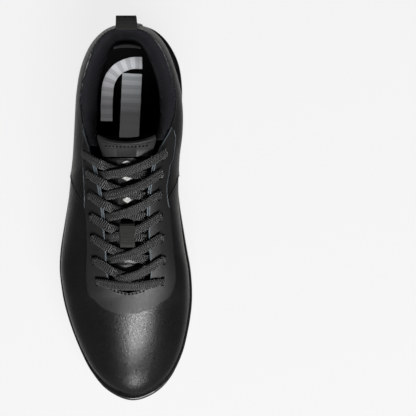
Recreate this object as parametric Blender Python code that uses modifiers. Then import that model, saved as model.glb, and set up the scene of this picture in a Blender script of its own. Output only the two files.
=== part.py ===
"""Golf shoe for the right foot: flat lace-up shoe in black leather on a rubber sole.

The toe points to -Y, the inner (medial) side of the foot is +X and the ground is z = 0.
Lengths in the tables are in millimetres; build functions turn them into metres.

The upper is one skin, drawn as ribs that rise from the sole edge to the top edge. Station 0 is the
heel seam, 1 to 19 the lateral side, 20 the toe tip and 21 to 39 the medial side back to the heel.
Every layer of the upper (leather, stiffeners, foam, lining) is the same skin at its own depth.
"""

import math

import bmesh
import bpy
import numpy as np
from mathutils import Vector

MM = 0.001
TOE = 20  # station of the toe tip
AROUND = 2 * TOE  # stations once around the shoe

# --- Driving dimensions, in millimetres ---------------------------------------------------------

# Sole edge x, y and how far the upper stands in from it, heel seam to toe tip.
LATERAL_EDGE = [
    (4, 150.2, 3), (-10, 147.6, 3), (-20, 141.6, 3), (-28.6, 131, 3), (-35, 115, 3.2),
    (-38, 97, 3), (-39, 78, 2.5), (-40, 60, 2), (-41.6, 42, 2), (-43.8, 24, 2),
    (-46.6, 6, 2), (-49.6, -12, 2), (-52.3, -29, 2), (-53.3, -45, 2), (-51.8, -61, 2),
    (-49, -76, 2), (-43.5, -94, 2), (-36, -112.5, 2.2), (-27, -129, 2.8), (-13.5, -143, 3.8),
    (4.8, -150.2, 4.8),
]
MEDIAL_EDGE = [
    (4, 150.2, 3), (18.5, 147.6, 3.4), (28.5, 141.6, 4.4), (37, 131, 5.4), (43, 117, 6),
    (45.3, 99, 4.5), (44.3, 79, 3), (42.4, 60, 2), (41, 42, 2), (41.6, 24, 2),
    (43.4, 6, 2), (46, -11, 2), (49, -29, 2), (52, -46, 2), (53.3, -62, 2),
    (52.9, -77, 2), (50, -96, 2), (45, -115, 2.2), (36, -132.5, 2.8), (22.5, -145, 3.8),
    (4.8, -150.2, 4.8),
]
# Top edge of the upper: collar to station 8, throat to station 15, then the ridge to the toe cap.
LATERAL_TOP = [
    (4.3, 140, 91), (-6, 138.6, 89.8), (-14.5, 133.8, 86.5), (-22, 124, 81.5), (-28, 109, 76.5),
    (-31.2, 93, 74), (-31.3, 78, 75), (-28.6, 63, 79), (-24, 50, 88), (-20.2, 37.5, 96.5),
    (-16, 16, 94), (-13.6, -6, 88), (-12, -28, 81.5), (-11, -48, 75.5), (-5.5, -60, 73.2),
    (5, -64.5, 72.7), (5, -71, 71.5), (5, -79, 69.9), (5, -86, 68.2), (5, -90.5, 67.0),
    (5, -93, 66.3),
]
MEDIAL_TOP = [
    (4.3, 140, 91), (14.5, 138.6, 89.8), (23.5, 133.8, 86.5), (31, 124, 81.5), (37, 109, 76.5),
    (40.4, 93, 74), (40.6, 78, 75), (37.4, 65, 79), (32, 54, 88), (27.4, 44, 96.5),
    (22.8, 20, 94), (21.2, -3, 88), (21.4, -26, 81.5), (22.4, -48, 75.5), (16, -60, 73.2),
    (5, -64.5, 72.7), (5, -71, 71.5), (5, -79, 69.9), (5, -86, 68.2), (5, -90.5, 67.0),
    (5, -93, 66.3),
]
TOP_CORNERS = (8, 9, 15)  # where the top edge turns: collar front, throat top, throat base
FEATHER_Z = [32, 32, 31.7, 31.2, 30.6, 30, 29.2, 28.4, 27.6, 26.8, 26, 25.1, 24.2, 23.4, 22.7,
             22.2, 22.1, 22.6, 24, 26, 27.5]
RISE = [23, 22, 20, 18, 17, 17, 18, 21, 25, 29, 29, 28, 27, 26, 26, 25, 23, 21, 19, 18, 17]
REACH = [4, 4, 4, 4.5, 5, 5, 6, 8, 11, 15, 18, 20, 22, 25, 28, 30, 30, 30, 30, 29, 28]
DROP = [22, 20, 17, 15, 13, 13, 14, 15, 16, 14, 12, 11, 10, 8, 5, 1.3, 2.6, 4.3, 6.1, 7.7, 8.2]
LATERAL_BULGE = [3, 3, 3, 3.5, 4, 4, 4, 4, 4, 4, 3, 2.5, 2, 2, 1.5, 1.5, 1.5, 1.5, 2, 2, 2]
MEDIAL_BULGE = [3, 3, 3, 3, 3, 5, 8, 10, 10, 9, 6, 4, 2.5, 2, 1.5, 1.5, 1.5, 1.5, 2, 2, 2]
LINE_WIDTH = [22, 21, 19, 17, 16, 16, 16, 17, 19, 21, 21, 21, 21, 21, 24, 28, 22, 14, 14, 14, 14]
EYESTAY_WIDTH = [16, 16, 16, 16, 16, 16, 16, 16, 17, 21, 21, 21, 21, 21, 24, 28, 17, 1.2]

# Depths below the outside of the leather (negative is into the shoe).
EYESTAY_OUT, EYESTAY_THICK = 1.6, 1.0
LEATHER_OUT, LEATHER_THICK = 0.0, 1.4
FACING_OUT, FACING_THICK = -0.2, 1.0
STIFFENER_OUT, STIFFENER_THICK = -2.0, 1.1
LINING_OUT, LINING_THICK = -3.9, 0.9
BACKSTAY_OUT, BACKSTAY_THICK = 1.5, 1.0
FOAM_GAP = 0.6

# Collar pad: inward and upward from the top edge, following the foot side of the lining.
PAD = [(9.4, -24), (12.2, -16), (13.6, -8), (13.2, -2), (10.6, 2.0), (7.2, 3.2), (4.4, 2.2), (3.2, -0.6)]
PAD_FULLNESS = [0.7, 0.76, 0.86, 0.94, 0.98, 1, 1, 0.85, 0.5, 0.5]
PAD_END = 7.9
SEAM = 9.5  # station of the seam between vamp and quarters

SOLE_TREAD = 2.4
OUTSOLE = 6.0
TOE_SPRING, HEEL_BEVEL = 13.0, 4.0
GROOVES = (-128, -112, -96, -80, -64, -48, -32, -16, 36, 52, 68, 84, 100, 116, 132)
SHANK_SLOPE = 0.047
BOARD_THICK = 1.8
FOOTBED_BASE = 2.2  # above the sole deck
FOOTBED_HEEL, FOOTBED_FRONT, FOOTBED_DISH = 8.0, 5.0, 1.5

# Centre lines (x, y) of the printed strips on the footbed.
PRINT_BAND = [(14, 118.2), (5, 117.9), (-3.6, 114.5), (-9.3, 108.8), (-12.6, 101.8), (-13.8, 92.6),
              (-14.2, 82.4), (-14.3, 72.2)]
PRINT_PANEL = [(6.1, 109.8), (5.4, 97), (4.8, 84), (4.1, 71), (3.4, 58), (2.8, 46)]
PRINT_BAND_WIDTH, PRINT_PANEL_WIDTH, PRINT_THICK = 9.4, 15.6, 0.35

LACE_WIDTH, LACE_THICK = 6.0, 1.7
ROW_Y = [-53, -36.5, -19.5, -3.6, 12.5, 28.5, 42.5]  # eyelet rows, toe to collar
ROW_SETBACK = [9.5, 10.5, 11.5, 11.5, 11.5, 10, 8]
SLOT = (9.4, 5.0, 9.0)  # lace slot: along the throat, across it, depth of the cutter
TURN = 3.2  # radius of the lace where it turns down through a slot
THROAT_RISE = 4.0
LACE_SAG = 3.5

# Tongue centre line: y, z of the crown, half width, centre x, crown curvature.
TONGUE = [
    (-72, 60.6, 15, 5, 0.010), (-63, 64.2, 17, 5, 0.012), (-54, 68.2, 18.5, 5, 0.0145),
    (-44, 72.4, 20, 5, 0.0165), (-34, 76.6, 21, 5, 0.0175), (-24, 80.4, 21.5, 5, 0.018),
    (-8, 86.0, 21.5, 5, 0.0185), (8, 90.4, 21.5, 5, 0.0185), (24, 94.0, 21.5, 5.2, 0.0185),
    (36, 96.6, 21.5, 5.2, 0.018), (44, 100.0, 21.5, 5, 0.0165), (48.5, 102.8, 21.6, 5, 0.0155),
    (52, 106, 21.6, 5, 0.015), (54.5, 109.6, 21.2, 5, 0.0145),
]
TONGUE_LEATHER, TONGUE_FOAM, TONGUE_LINING, TONGUE_GAP = 1.1, 4.6, 0.9, 0.4
TONGUE_SPLIT = 9.55  # table row where the free top begins

TAB_WIDTH, TAB_WEB = 17.0, 1.3
TAB_CENTRE, TAB_LONG, TAB_SHORT, TAB_LEAN = (4.3, 143.7, 96.9), 6.2, 3.4, math.radians(42)
TAB_AXIS = (4.3, 139.3, 92.2)
KEEPER_WIDTH, KEEPER_WEB, KEEPER_ENDS = 12.0, 1.2, (-24.2, -6.2)

MATERIALS = {
    "rubber": ((0.012, 0.012, 0.012), 0.7, 0),
    "midsole_foam": ((0.014, 0.014, 0.014), 0.6, 0),
    "leather": ((0.012, 0.012, 0.013), 0.35, 0),
    "matte_film": ((0.03, 0.03, 0.031), 0.55, 0),
    "lining": ((0.015, 0.015, 0.019), 0.95, 0),
    "foam": ((0.05, 0.05, 0.05), 0.95, 0),
    "board": ((0.35, 0.3, 0.24), 0.9, 0),
    "plastic": ((0.04, 0.04, 0.04), 0.4, 0),
    "webbing": ((0.028, 0.03, 0.024), 0.85, 0),
    "lace": ((0.012, 0.012, 0.012), 0.85, 0),
    "print": ((0.35, 0.36, 0.37), 0.5, 0.2),
}


# --- Scene helpers ------------------------------------------------------------------------------

def clear_scene():
    for thing in list(bpy.data.objects):
        bpy.data.objects.remove(thing)


def collection(name):
    made = bpy.data.collections.new(name)
    bpy.context.scene.collection.children.link(made)
    return made


def material(slot):
    if slot in bpy.data.materials:
        return bpy.data.materials[slot]
    colour, roughness, metallic = MATERIALS[slot]
    made = bpy.data.materials.new(slot)
    made.use_nodes = True
    shader = made.node_tree.nodes["Principled BSDF"]
    shader.inputs["Base Color"].default_value = (*colour, 1)
    shader.inputs["Roughness"].default_value = roughness
    shader.inputs["Metallic"].default_value = metallic
    return made


def add_mesh(name, points, faces, slot, pivot=(0, 0, 0), where=None):
    """An object from points in millimetres, welded, facing out, with its origin at the pivot."""
    mesh = bpy.data.meshes.new(name)
    origin = np.asarray(pivot, float)
    mesh.from_pydata([tuple((np.asarray(p) - origin) * MM) for p in points], [], faces)
    work = bmesh.new()
    work.from_mesh(mesh)
    bmesh.ops.remove_doubles(work, verts=work.verts, dist=1e-6)
    bmesh.ops.recalc_face_normals(work, faces=work.faces)
    work.to_mesh(mesh)
    work.free()
    mesh.materials.append(material(slot))
    made = bpy.data.objects.new(name, mesh)
    made.location = Vector(origin * MM)
    (where or PARTS).objects.link(made)
    return made


def solidify(made, thickness, offset=-1):
    """Thicken a skin away from the side its faces look to, or towards it with offset 1."""
    modifier = made.modifiers.new("thickness", "SOLIDIFY")
    modifier.thickness = thickness * MM
    modifier.offset = offset
    modifier.use_even_offset = True
    return made


def boolean(made, cutter, operation):
    modifier = made.modifiers.new(operation.lower(), "BOOLEAN")
    modifier.operation = operation
    modifier.solver = "EXACT"
    modifier.object = cutter
    return made


def hide_cutter(cutter):
    cutter.hide_render = True
    cutter.display_type = "WIRE"
    return cutter


def loft(name, sections, slot, closed=False, pivot=(0, 0, 0), where=None):
    """A solid through rings of points; open lofts are capped, closed ones run back to the start."""
    count, size = len(sections), len(sections[0])
    points = [p for ring in sections for p in ring]
    faces = []
    for i in range(count if closed else count - 1):
        j = (i + 1) % count
        for k in range(size):
            m = (k + 1) % size
            faces.append((i * size + k, i * size + m, j * size + m, j * size + k))
    if not closed:
        faces.append(tuple(range(size)))
        faces.append(tuple((count - 1) * size + k for k in range(size)))
    return add_mesh(name, points, faces, slot, pivot, where)


# --- The skin of the upper ----------------------------------------------------------------------

def unit(v):
    return np.asarray(v, float) / (np.linalg.norm(v) + 1e-12)


def around(lateral, medial):
    """One closed table from the lateral and the medial halves."""
    return np.array(list(lateral) + list(medial)[-2:0:-1], float)


EDGE = around(LATERAL_EDGE, MEDIAL_EDGE)
TOP = around(LATERAL_TOP, MEDIAL_TOP)
BULGE = around(LATERAL_BULGE, MEDIAL_BULGE)
CORNERS = set(TOP_CORNERS) | {AROUND - c for c in TOP_CORNERS}


def ring_value(table, u, corners=()):
    """A closed station table at station u, smooth except at the corners."""
    count = len(table)
    i = int(math.floor(u))
    f = u - i
    p = [table[(i + k) % count] for k in (-1, 0, 1, 2)]
    start = p[2] - p[1] if i % count in corners else (p[2] - p[0]) / 2
    end = p[2] - p[1] if (i + 1) % count in corners else (p[3] - p[1]) / 2
    return ((2 * f**3 - 3 * f**2 + 1) * p[1] + (f**3 - 2 * f**2 + f) * start
            + (3 * f**2 - 2 * f**3) * p[2] + (f**3 - f**2) * end)


def half(table, u):
    """A table that is the same on both sides, at station u."""
    t = u % AROUND
    t = AROUND - t if t > TOE else t
    return float(np.interp(t, range(len(table)), table))


def outward(u):
    """Horizontal direction out of the sole edge."""
    step = ring_value(EDGE, u + 0.05)[:2] - ring_value(EDGE, u - 0.05)[:2]
    return unit((step[1], -step[0], 0))


def feather(u, inset=0.0):
    """Where the upper meets the sole, moved in by the inset."""
    x, y, stand = ring_value(EDGE, u)
    return np.array((x, y, half(FEATHER_Z, u))) - outward(u) * (stand + inset)


def rib(u):
    """Bezier control points of the rib at station u."""
    foot, top, out = feather(u), ring_value(TOP, u, CORNERS), outward(u)
    away = unit((foot - top) * (1, 1, 0))
    share = np.clip((min(u % AROUND, AROUND - u % AROUND) - 6) / 4, 0, 1)
    away = unit(out * (1 - share) + away * share)
    return (foot,
            foot + out * ring_value(BULGE, u) + np.array((0, 0, half(RISE, u))),
            top + away * half(REACH, u) - np.array((0, 0, half(DROP, u))),
            top)


def skin(u, v):
    a, b, c, d = rib(u)
    w = 1 - v
    return w**3 * a + 3 * w * w * v * b + 3 * w * v * v * c + v**3 * d


def skin_normal(u, v):
    v = min(v, 0.97)
    return unit(np.cross(skin(u + 0.04, v) - skin(u - 0.04, v), skin(u, v + 0.02) - skin(u, v - 0.02)))


def on_ridge(u, v):
    t = min(u % AROUND, AROUND - u % AROUND)
    return v > 0.999 and t >= 15


def layer(u, v, depth):
    """A point of the skin at a depth; both sides agree along the ridge."""
    normal = skin_normal(u, v)
    if on_ridge(u, v):
        normal = unit(normal + skin_normal(AROUND - u, v))
    return skin(u, v) + normal * depth


def rib_length(u):
    points = [skin(u, k / 10) for k in range(11)]
    return sum(np.linalg.norm(b - a) for a, b in zip(points, points[1:]))


def setback(u, distance):
    """Rib position at a distance below the top edge."""
    return 1 - distance / rib_length(u)


def lines(u):
    """Rib positions shared by all layers: feather edge, eyestay edge (4), vamp edge (5), top (7)."""
    width = half(LINE_WIDTH, u)
    edge = setback(u, width)
    return [0, 0.14 * edge, 0.36 * edge, 0.66 * edge, edge,
            setback(u, 0.74 * width), setback(u, 0.36 * width), 1]


def side_stations(*stations):
    """The same stations on the lateral and then on the medial side."""
    return list(stations) + [AROUND - s for s in reversed(stations)]


def patch(name, stations, keep, out, thick, slot, rows=lines):
    """A skin layer over some of the ribs, keeping the cells that keep(station, line) accepts."""
    grid = [[layer(u, v, out) for v in rows(u)] for u in stations]
    size = len(grid[0])
    faces = []
    for i in range(len(stations) - 1):
        middle = (stations[i] + stations[i + 1]) / 2 % AROUND
        for j in range(size - 1):
            if keep(min(middle, AROUND - middle), j):
                faces.append((i * size + j, (i + 1) * size + j,
                              (i + 1) * size + j + 1, i * size + j + 1))
    used = sorted({k for face in faces for k in face})
    index = {k: n for n, k in enumerate(used)}
    points = [p for column in grid for p in column]
    made = add_mesh(name, [points[k] for k in used],
                    [tuple(index[k] for k in face) for face in faces], slot)
    face_out(made, out_of=np.array((4, 0, 50)) * MM)
    return solidify(made, thick)


def face_out(made, out_of):
    """Turn a skin so its faces look away from a point inside the shoe."""
    mesh = made.data
    facing = sum((p.center + made.location - Vector(out_of)).dot(p.normal) for p in mesh.polygons)
    if facing < 0:
        mesh.flip_normals()


# --- Sole ---------------------------------------------------------------------------------------

SOLE_STATIONS = [0, 0.5, 1, 1.5, 2, 2.6, 3.3, 4, 5, 6, 7, 8, 9, 10, 11, 12, 13, 14, 15, 16, 17,
                 17.6, 18.2, 18.8, 19.4, 20]


def ground(y):
    """Height of the tread: flat, rising under the toe and a little at the heel."""
    toe = TOE_SPRING * max(0, (-78 - y) / 72) ** 2
    heel = HEEL_BEVEL * max(0, (y - 122) / 28) ** 2
    return toe + heel


def sole_ring(inset, height):
    """Points around the sole edge; height(y, feather z) gives z."""
    stations = SOLE_STATIONS + [AROUND - s for s in SOLE_STATIONS[-2:0:-1]]
    ring = []
    for u in stations:
        edge = ring_value(EDGE, u)
        point = np.array((edge[0], edge[1], 0)) - outward(u) * inset
        point[2] = height(point[1], half(FEATHER_Z, u))
        ring.append(point)
    return ring


def feather_ring(inset, lift):
    stations = SOLE_STATIONS + [AROUND - s for s in SOLE_STATIONS[-2:0:-1]]
    return [feather(u, inset) + np.array((0, 0, lift)) for u in stations]


def deck(ring, dish=0.0, across=3):
    """Points and faces of a cap over a ring; the middle is pushed up by the dish."""
    pairs = len(ring) // 2
    rows = []
    for i in range(1, pairs):
        left, right = ring[i], ring[-i]
        row = [left + (right - left) * k / (across + 1) for k in range(across + 2)]
        for k in range(1, across + 1):
            side = 2 * k / (across + 1) - 1
            row[k] = row[k] + np.array((0, 0, dish * (1 - side * side)))
        rows.append(row)
    points = [ring[0]] + [p for row in rows for p in row] + [ring[pairs]]
    size, end = across + 2, len(points) - 1
    faces = []
    for k in range(size - 1):
        faces.append((0, 1 + k, 2 + k))
        faces.append((end, end - size + k + 1, end - size + k))
        for i in range(pairs - 2):
            a = 1 + i * size + k
            faces.append((a, a + size, a + size + 1, a + 1))
    return points, faces


def slab(name, rings, slot, dish=0.0, under=0.0, where=None):
    """A solid with walls through the rings, first ring lowest, and decks over both ends."""
    points, faces = [], []
    for ring, bow in ((rings[0], under), (rings[-1], dish)):
        deck_points, deck_faces = deck(ring, bow)
        faces += [tuple(k + len(points) for k in face) for face in deck_faces]
        points += deck_points
    for low, high in zip(rings, rings[1:]):
        base, size = len(points), len(low)
        points += list(low) + list(high)
        for k in range(size):
            m = (k + 1) % size
            faces.append((base + k, base + m, base + size + m, base + size + k))
    return add_mesh(name, points, faces, slot, where=where)


BOX_FACES = [(0, 1, 2, 3), (4, 7, 6, 5), (0, 4, 5, 1), (1, 5, 6, 2), (2, 6, 7, 3), (3, 7, 4, 0)]


def box_points(size, centre, axes):
    x, y, z = (np.asarray(axis) * side / 2 for axis, side in zip(axes, size))
    corners = ((-1, -1), (1, -1), (1, 1), (-1, 1))
    return [centre + i * x + j * y + k * z for k in (-1, 1) for i, j in corners]


def boxes(name, items, where):
    """Several separate boxes in one object, each (size, centre, axes)."""
    points, faces = [], []
    for size, centre, axes in items:
        faces += [tuple(k + len(points) for k in face) for face in BOX_FACES]
        points += box_points(size, np.asarray(centre, float), axes)
    return add_mesh(name, points, faces, "rubber", where=where)


def tread_grooves():
    """Cross grooves that divide the tread into bars."""
    items = []
    for y in GROOVES:
        low = ground(y)
        slope = (ground(y + 1) - ground(y - 1)) / 2
        along = unit((0, 1, slope))
        axes = ((1, 0, 0), along, unit(np.cross((1, 0, 0), along)))
        items.append(((120, 4.5, 2 * SOLE_TREAD), (0, y, low), axes))
    return hide_cutter(boxes("tread_grooves", items, CUTTERS))


def build_sole():
    shank_axes = [(1, 0, 0), unit((0, 1, SHANK_SLOPE)), unit((0, -SHANK_SLOPE, 1))]
    outsole = slab("outsole", [
        sole_ring(4.0, lambda y, f: ground(y)),
        sole_ring(1.5, lambda y, f: ground(y) + 1.6),
        sole_ring(0.2, lambda y, f: ground(y) + OUTSOLE),
    ], "rubber")
    boolean(outsole, tread_grooves(), "DIFFERENCE")

    midsole = slab("midsole", [
        sole_ring(0.2, lambda y, f: ground(y) + OUTSOLE + 0.3),
        sole_ring(0.0, lambda y, f: (ground(y) + OUTSOLE + f) / 2 + 1),
        sole_ring(1.2, lambda y, f: f - 0.4),
    ], "midsole_foam")
    pocket = hide_cutter(boxes("shank_pocket", [((25, 81, 6), (1, 30, 27.3), shank_axes)], CUTTERS))
    boolean(midsole, pocket, "DIFFERENCE")

    bumper_stations = [17.8, 18.3, 18.8, 19.4, 20, 20.6, 21.2, 21.7, 22.2]
    sections = []
    for n, u in enumerate(bumper_stations):
        full = math.sin(math.pi * (0.1 + 0.8 * n / (len(bumper_stations) - 1)))
        edge, out = ring_value(EDGE, u), outward(u)
        point = np.array((edge[0], edge[1], 0)) + out * 0.4
        low, top = ground(point[1]) + OUTSOLE + 1, half(FEATHER_Z, u) - 2.5
        up = np.array((0, 0, 1))
        sections.append([point + up * low, point + out * 0.9 * full + up * low,
                         point + out * 0.7 * full + up * (top - 1), point + up * top])
    loft("toe_bumper", sections, "rubber")

    shank = boxes("shank", [((24, 80, 1.6), (1, 30, 25.4), shank_axes)], PARTS)
    shank.data.materials[0] = material("plastic")
    bevel = shank.modifiers.new("bevel", "BEVEL")
    bevel.width = 0.4 * MM
    bevel.segments = 1


# --- Insole parts -------------------------------------------------------------------------------

def footbed_thickness(y):
    """Thick under the heel, thinner under the toes."""
    return float(np.interp(y, (-60, 20), (FOOTBED_FRONT, FOOTBED_HEEL)))


def footbed_height(x, y):
    """Height of the footbed's upper face, its dish followed across the shoe."""
    stations = np.array(SOLE_STATIONS[1:-1])
    left = np.array([feather(u, 8.6) for u in stations])
    right = np.array([feather(AROUND - u, 8.6) for u in stations])
    best = min(range(len(stations)), key=lambda i: abs((left[i, 1] + right[i, 1]) / 2 - y))
    side = 2 * (x - left[best, 0]) / (right[best, 0] - left[best, 0]) - 1
    deck_z = np.interp(-y, -left[:, 1], left[:, 2])
    edge_z = deck_z + FOOTBED_BASE + footbed_thickness(y)
    return float(edge_z - FOOTBED_DISH * (1 - side * side))


def build_insole():
    board_top = 0.1 + BOARD_THICK
    slab("lasting_board", [feather_ring(5.9, 0.1), feather_ring(5.9, board_top)], "board")

    def footbed_ring(inset, share):
        """A ring of the footbed at a share of its thickness."""
        return [p + np.array((0, 0, FOOTBED_BASE + share * footbed_thickness(p[1])))
                for p in feather_ring(inset, 0)]

    slab("footbed", [footbed_ring(8.0, 0), footbed_ring(7.8, 0.6), footbed_ring(8.6, 1)],
         "foam", dish=-FOOTBED_DISH)
    build_print("footbed_print_band", PRINT_BAND, PRINT_BAND_WIDTH)
    build_print("footbed_print_panel", PRINT_PANEL, PRINT_PANEL_WIDTH)


def build_print(name, path, width):
    """A strip of transfer film along a centre line, just above the footbed's face."""
    path = np.array(path, float)
    sections = []
    for i, (x, y) in enumerate(path):
        step = unit(np.append(path[min(i + 1, len(path) - 1)] - path[max(i - 1, 0)], 0))
        side = np.array((step[1], -step[0])) * width / 2
        edges = [path[i] - side, path[i] + side]
        low = max(footbed_height(*p) for p in (edges[0], path[i], edges[1])) + 0.55
        high = low + PRINT_THICK
        sections.append([(*edges[0], low), (*edges[1], low), (*edges[1], high), (*edges[0], high)])
    loft(name, sections, "print")


# --- Upper --------------------------------------------------------------------------------------

def slot_frame(side, row):
    """Centre of a lace slot on the skin, direction to the throat, along it, and out of the skin."""
    low, high = 7.6, 14.6
    distance, y = ROW_SETBACK[row], ROW_Y[row]

    def at(t):
        u = t if side == "lateral" else AROUND - t
        return u, setback(u, distance)

    for _ in range(30):
        middle = (low + high) / 2
        if skin(*at(middle))[1] > y:
            low = middle
        else:
            high = middle
    u, v = at((low + high) / 2)
    centre, normal = skin(u, v), skin_normal(u, v)
    inward = unit(skin(u, v + 0.03) - skin(u, v - 0.03))
    along = unit(np.cross(normal, inward))
    along = along if along[1] > 0 else -along
    return centre, inward, along, normal


def lace_slots():
    items = []
    for side in ("lateral", "medial"):
        for row in range(len(ROW_Y)):
            centre, inward, along, normal = slot_frame(side, row)
            items.append((SLOT, centre, (along, inward, normal)))
    return hide_cutter(boxes("lace_slots", items, CUTTERS))


def build_upper():
    gap = 0.012
    vamp_side = [SEAM + gap, 10.25, 11, 12, 13, 14, 14.6, 15, 15.5, 16, 17, 17.6, 18.2, 18.8, 19.4]
    vamp_stations = side_stations(*vamp_side)
    vamp_stations.insert(len(vamp_side), TOE)
    quarter = [gap, 0.5, 1, 1.5, 2, 2.6, 3.3, 4, 5, 6, 7, 8, 9, SEAM - gap]

    def vamp_cells(t, j):
        return j < 5 or t > 15

    patch("vamp", vamp_stations, vamp_cells, LEATHER_OUT, LEATHER_THICK, "leather")
    patch("vamp_lining", vamp_stations, vamp_cells, LINING_OUT, LINING_THICK, "lining")
    puff = [s for s in vamp_stations if 17.5 < s < AROUND - 17.5]
    patch("toe_puff", puff, lambda t, j: True, STIFFENER_OUT, STIFFENER_THICK, "plastic")

    def quarter_cells(t, j):
        return j < 5 or t < 8

    patch("quarter_lateral", quarter, quarter_cells, LEATHER_OUT, LEATHER_THICK, "leather")
    patch("quarter_medial", [AROUND - s for s in reversed(quarter)], quarter_cells,
          LEATHER_OUT, LEATHER_THICK, "leather")

    heel = [-s for s in (4, 3.3, 2.6, 2, 1.5, 1, 0.5)] + [0, 0.5, 1, 1.5, 2, 2.6, 3.3, 4]
    patch("heel_counter", heel, lambda t, j: j < 4, STIFFENER_OUT, STIFFENER_THICK, "plastic")
    patch("backstay", [-0.75, -0.5, 0, 0.5, 0.75], lambda t, j: j > 0, BACKSTAY_OUT, BACKSTAY_THICK,
          "leather", rows=lambda u: [0, 0.12, 0.3, 0.5, 0.7, 0.85, 0.97])

    slots = lace_slots()
    eyestay_side = [8.15, 9, 9.7, 10.25, 11, 12, 13, 14, 14.6, 15, 15.5, 16, 17]

    def eyestay_rows(u):
        width = half(EYESTAY_WIDTH, u)
        return [setback(u, width), setback(u, 0.74 * width), setback(u, 0.36 * width), 1]

    eyestay = patch("eyestay", side_stations(*eyestay_side), lambda t, j: t < 17,
                    EYESTAY_OUT, EYESTAY_THICK, "matte_film", rows=eyestay_rows)
    boolean(eyestay, slots, "DIFFERENCE")

    def facing_rows(u):
        width = half(LINE_WIDTH, u)
        return [setback(u, 0.74 * width - 0.6), setback(u, 0.36 * width), 1]

    facing_side = [8.15, 9, 9.7, 10.25, 11, 12, 13, 14, 14.15]
    facing_stations = {"lateral": facing_side, "medial": [AROUND - s for s in reversed(facing_side)]}
    for side, stations in facing_stations.items():
        facing = patch(f"eyestay_facing_{side}", stations, lambda t, j: True,
                       FACING_OUT, FACING_THICK, "lining", rows=facing_rows)
        boolean(facing, slots, "DIFFERENCE")


def pad_path(u, shrink=0.0):
    """Points of the collar pad at a station, foot side of the pad, lowest first."""
    top, inward = ring_value(TOP, u, CORNERS), -outward(u)
    full = half(PAD_FULLNESS, u)
    middle = np.array((6.0, -10.0))
    points = []
    for a, b in PAD:
        a, b = np.array((a, b)) + unit(middle - (a, b)) * shrink
        a = 3.2 + (a - 3.2) * full
        points.append(top + inward * a + np.array((0, 0, b * full if b > 0 else b)))
    return points


def build_collar():
    stations = [-PAD_END, -7, -6, -5, -4, -3.3, -2.6, -2, -1.5, -1, -0.5, 0,
                0.5, 1, 1.5, 2, 2.6, 3.3, 4, 5, 6, 7, PAD_END]
    sections = []
    for u in stations:
        outer = [layer(u, setback(u, d), STIFFENER_OUT) for d in (1.5, 8, 15)]
        sections.append(pad_path(u, 1.5) + outer)
    loft("collar_foam", sections, "foam")

    points, faces = [], []
    for u in stations:
        low = [layer(u, v * setback(u, 24), LINING_OUT) for v in (0.04, 0.4, 0.75)]
        points += low + pad_path(u, 0.0)
    size = len(PAD) + 3
    for i in range(len(stations) - 1):
        for j in range(size - 1):
            a = i * size + j
            faces.append((a, a + size, a + size + 1, a + 1))
    lining = add_mesh("collar_lining", points, faces, "lining")
    face_out(lining, out_of=np.array((4, 80, 60)) * MM)
    lining.data.flip_normals()
    solidify(lining, LINING_THICK, offset=1)


# --- Tongue -------------------------------------------------------------------------------------

def tongue_point(row, side, depth):
    """A point of the tongue: table row, -1 to 1 across, depth below its outer face."""
    table = np.array(TONGUE, float)

    def bare(r, s):
        y, z, wide, x, bend = [np.interp(r, range(len(table)), column) for column in table.T]
        return np.array((x + s * wide, y, z - bend * (s * wide) ** 2))

    r, s = min(max(row, 0.05), len(table) - 1.05), side
    normal = unit(np.cross(bare(r, s + 0.02) - bare(r, s - 0.02), bare(r + 0.05, s) - bare(r - 0.05, s)))
    return bare(row, s) + normal * depth


def tongue_shell(name, rows, depth, thick, slot, pivot=(0, 0, 0), reach=1.0):
    across = [-1, -0.6, -0.2, 0.2, 0.6, 1]
    sections = []
    for row in rows:
        upper = [tongue_point(row, s * reach, -depth) for s in across]
        lower = [tongue_point(row, s * reach, -depth - thick) for s in reversed(across)]
        sections.append(upper + lower)
    return loft(name, sections, slot, pivot=pivot)


def tongue_axis():
    crown, edge = tongue_point(TONGUE_SPLIT, 0, -3.8), tongue_point(TONGUE_SPLIT, 0.9, -3.8)
    return (crown[0], crown[1], (crown[2] + edge[2]) / 2)


def build_tongue():
    body = [0, 1, 2, 3, 4, 5, 6, 7, 8, 9, TONGUE_SPLIT - 0.1]
    top = [TONGUE_SPLIT + 0.1, 10, 11, 12, 13]
    foam_at = TONGUE_LEATHER + TONGUE_GAP
    lining_at = foam_at + TONGUE_FOAM + TONGUE_GAP
    tongue_shell("tongue_leather", body, 0, TONGUE_LEATHER, "leather")
    tongue_shell("tongue_foam", body[1:], foam_at, TONGUE_FOAM, "foam", reach=0.94)
    tongue_shell("tongue_lining", body[1:], lining_at, TONGUE_LINING, "lining")
    pivot = tongue_axis()
    tongue_shell("tongue_top_leather", top, 0, TONGUE_LEATHER, "leather", pivot)
    tongue_shell("tongue_top_foam", top, foam_at, TONGUE_FOAM, "foam", pivot, reach=0.94)
    tongue_shell("tongue_top_lining", top, lining_at, TONGUE_LINING, "lining", pivot)

    strip = []
    for row in (7, 8, 9, TONGUE_SPLIT - 0.1):
        across = (-0.3, -0.2, 0.2, 0.3)
        strip.append([tongue_point(row, s, 0.4) for s in across]
                     + [tongue_point(row, s, 0.9) for s in reversed(across)])
    loft("tongue_strip", strip, "webbing")


def throat(y):
    """Left and right throat edge and the taut skin's height between them, at a distance along."""
    def edge(table):
        rows = table[9:15]
        ys = [-r[1] for r in rows]
        return [np.interp(-y, ys, [r[k] for r in rows]) for k in (0, 2)]

    return edge(LATERAL_TOP), edge(MEDIAL_TOP)


def taut(x, y):
    """The skin drawn across the throat, crowned a little over the instep."""
    (left, left_z), (right, right_z) = throat(y)
    f = (x - left) / (right - left)
    return left_z + (right_z - left_z) * f + THROAT_RISE * (1 - (2 * f - 1) ** 2)


def tongue_crown(y):
    return float(np.interp(y, [row[0] for row in TONGUE], [row[1] for row in TONGUE]))


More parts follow.
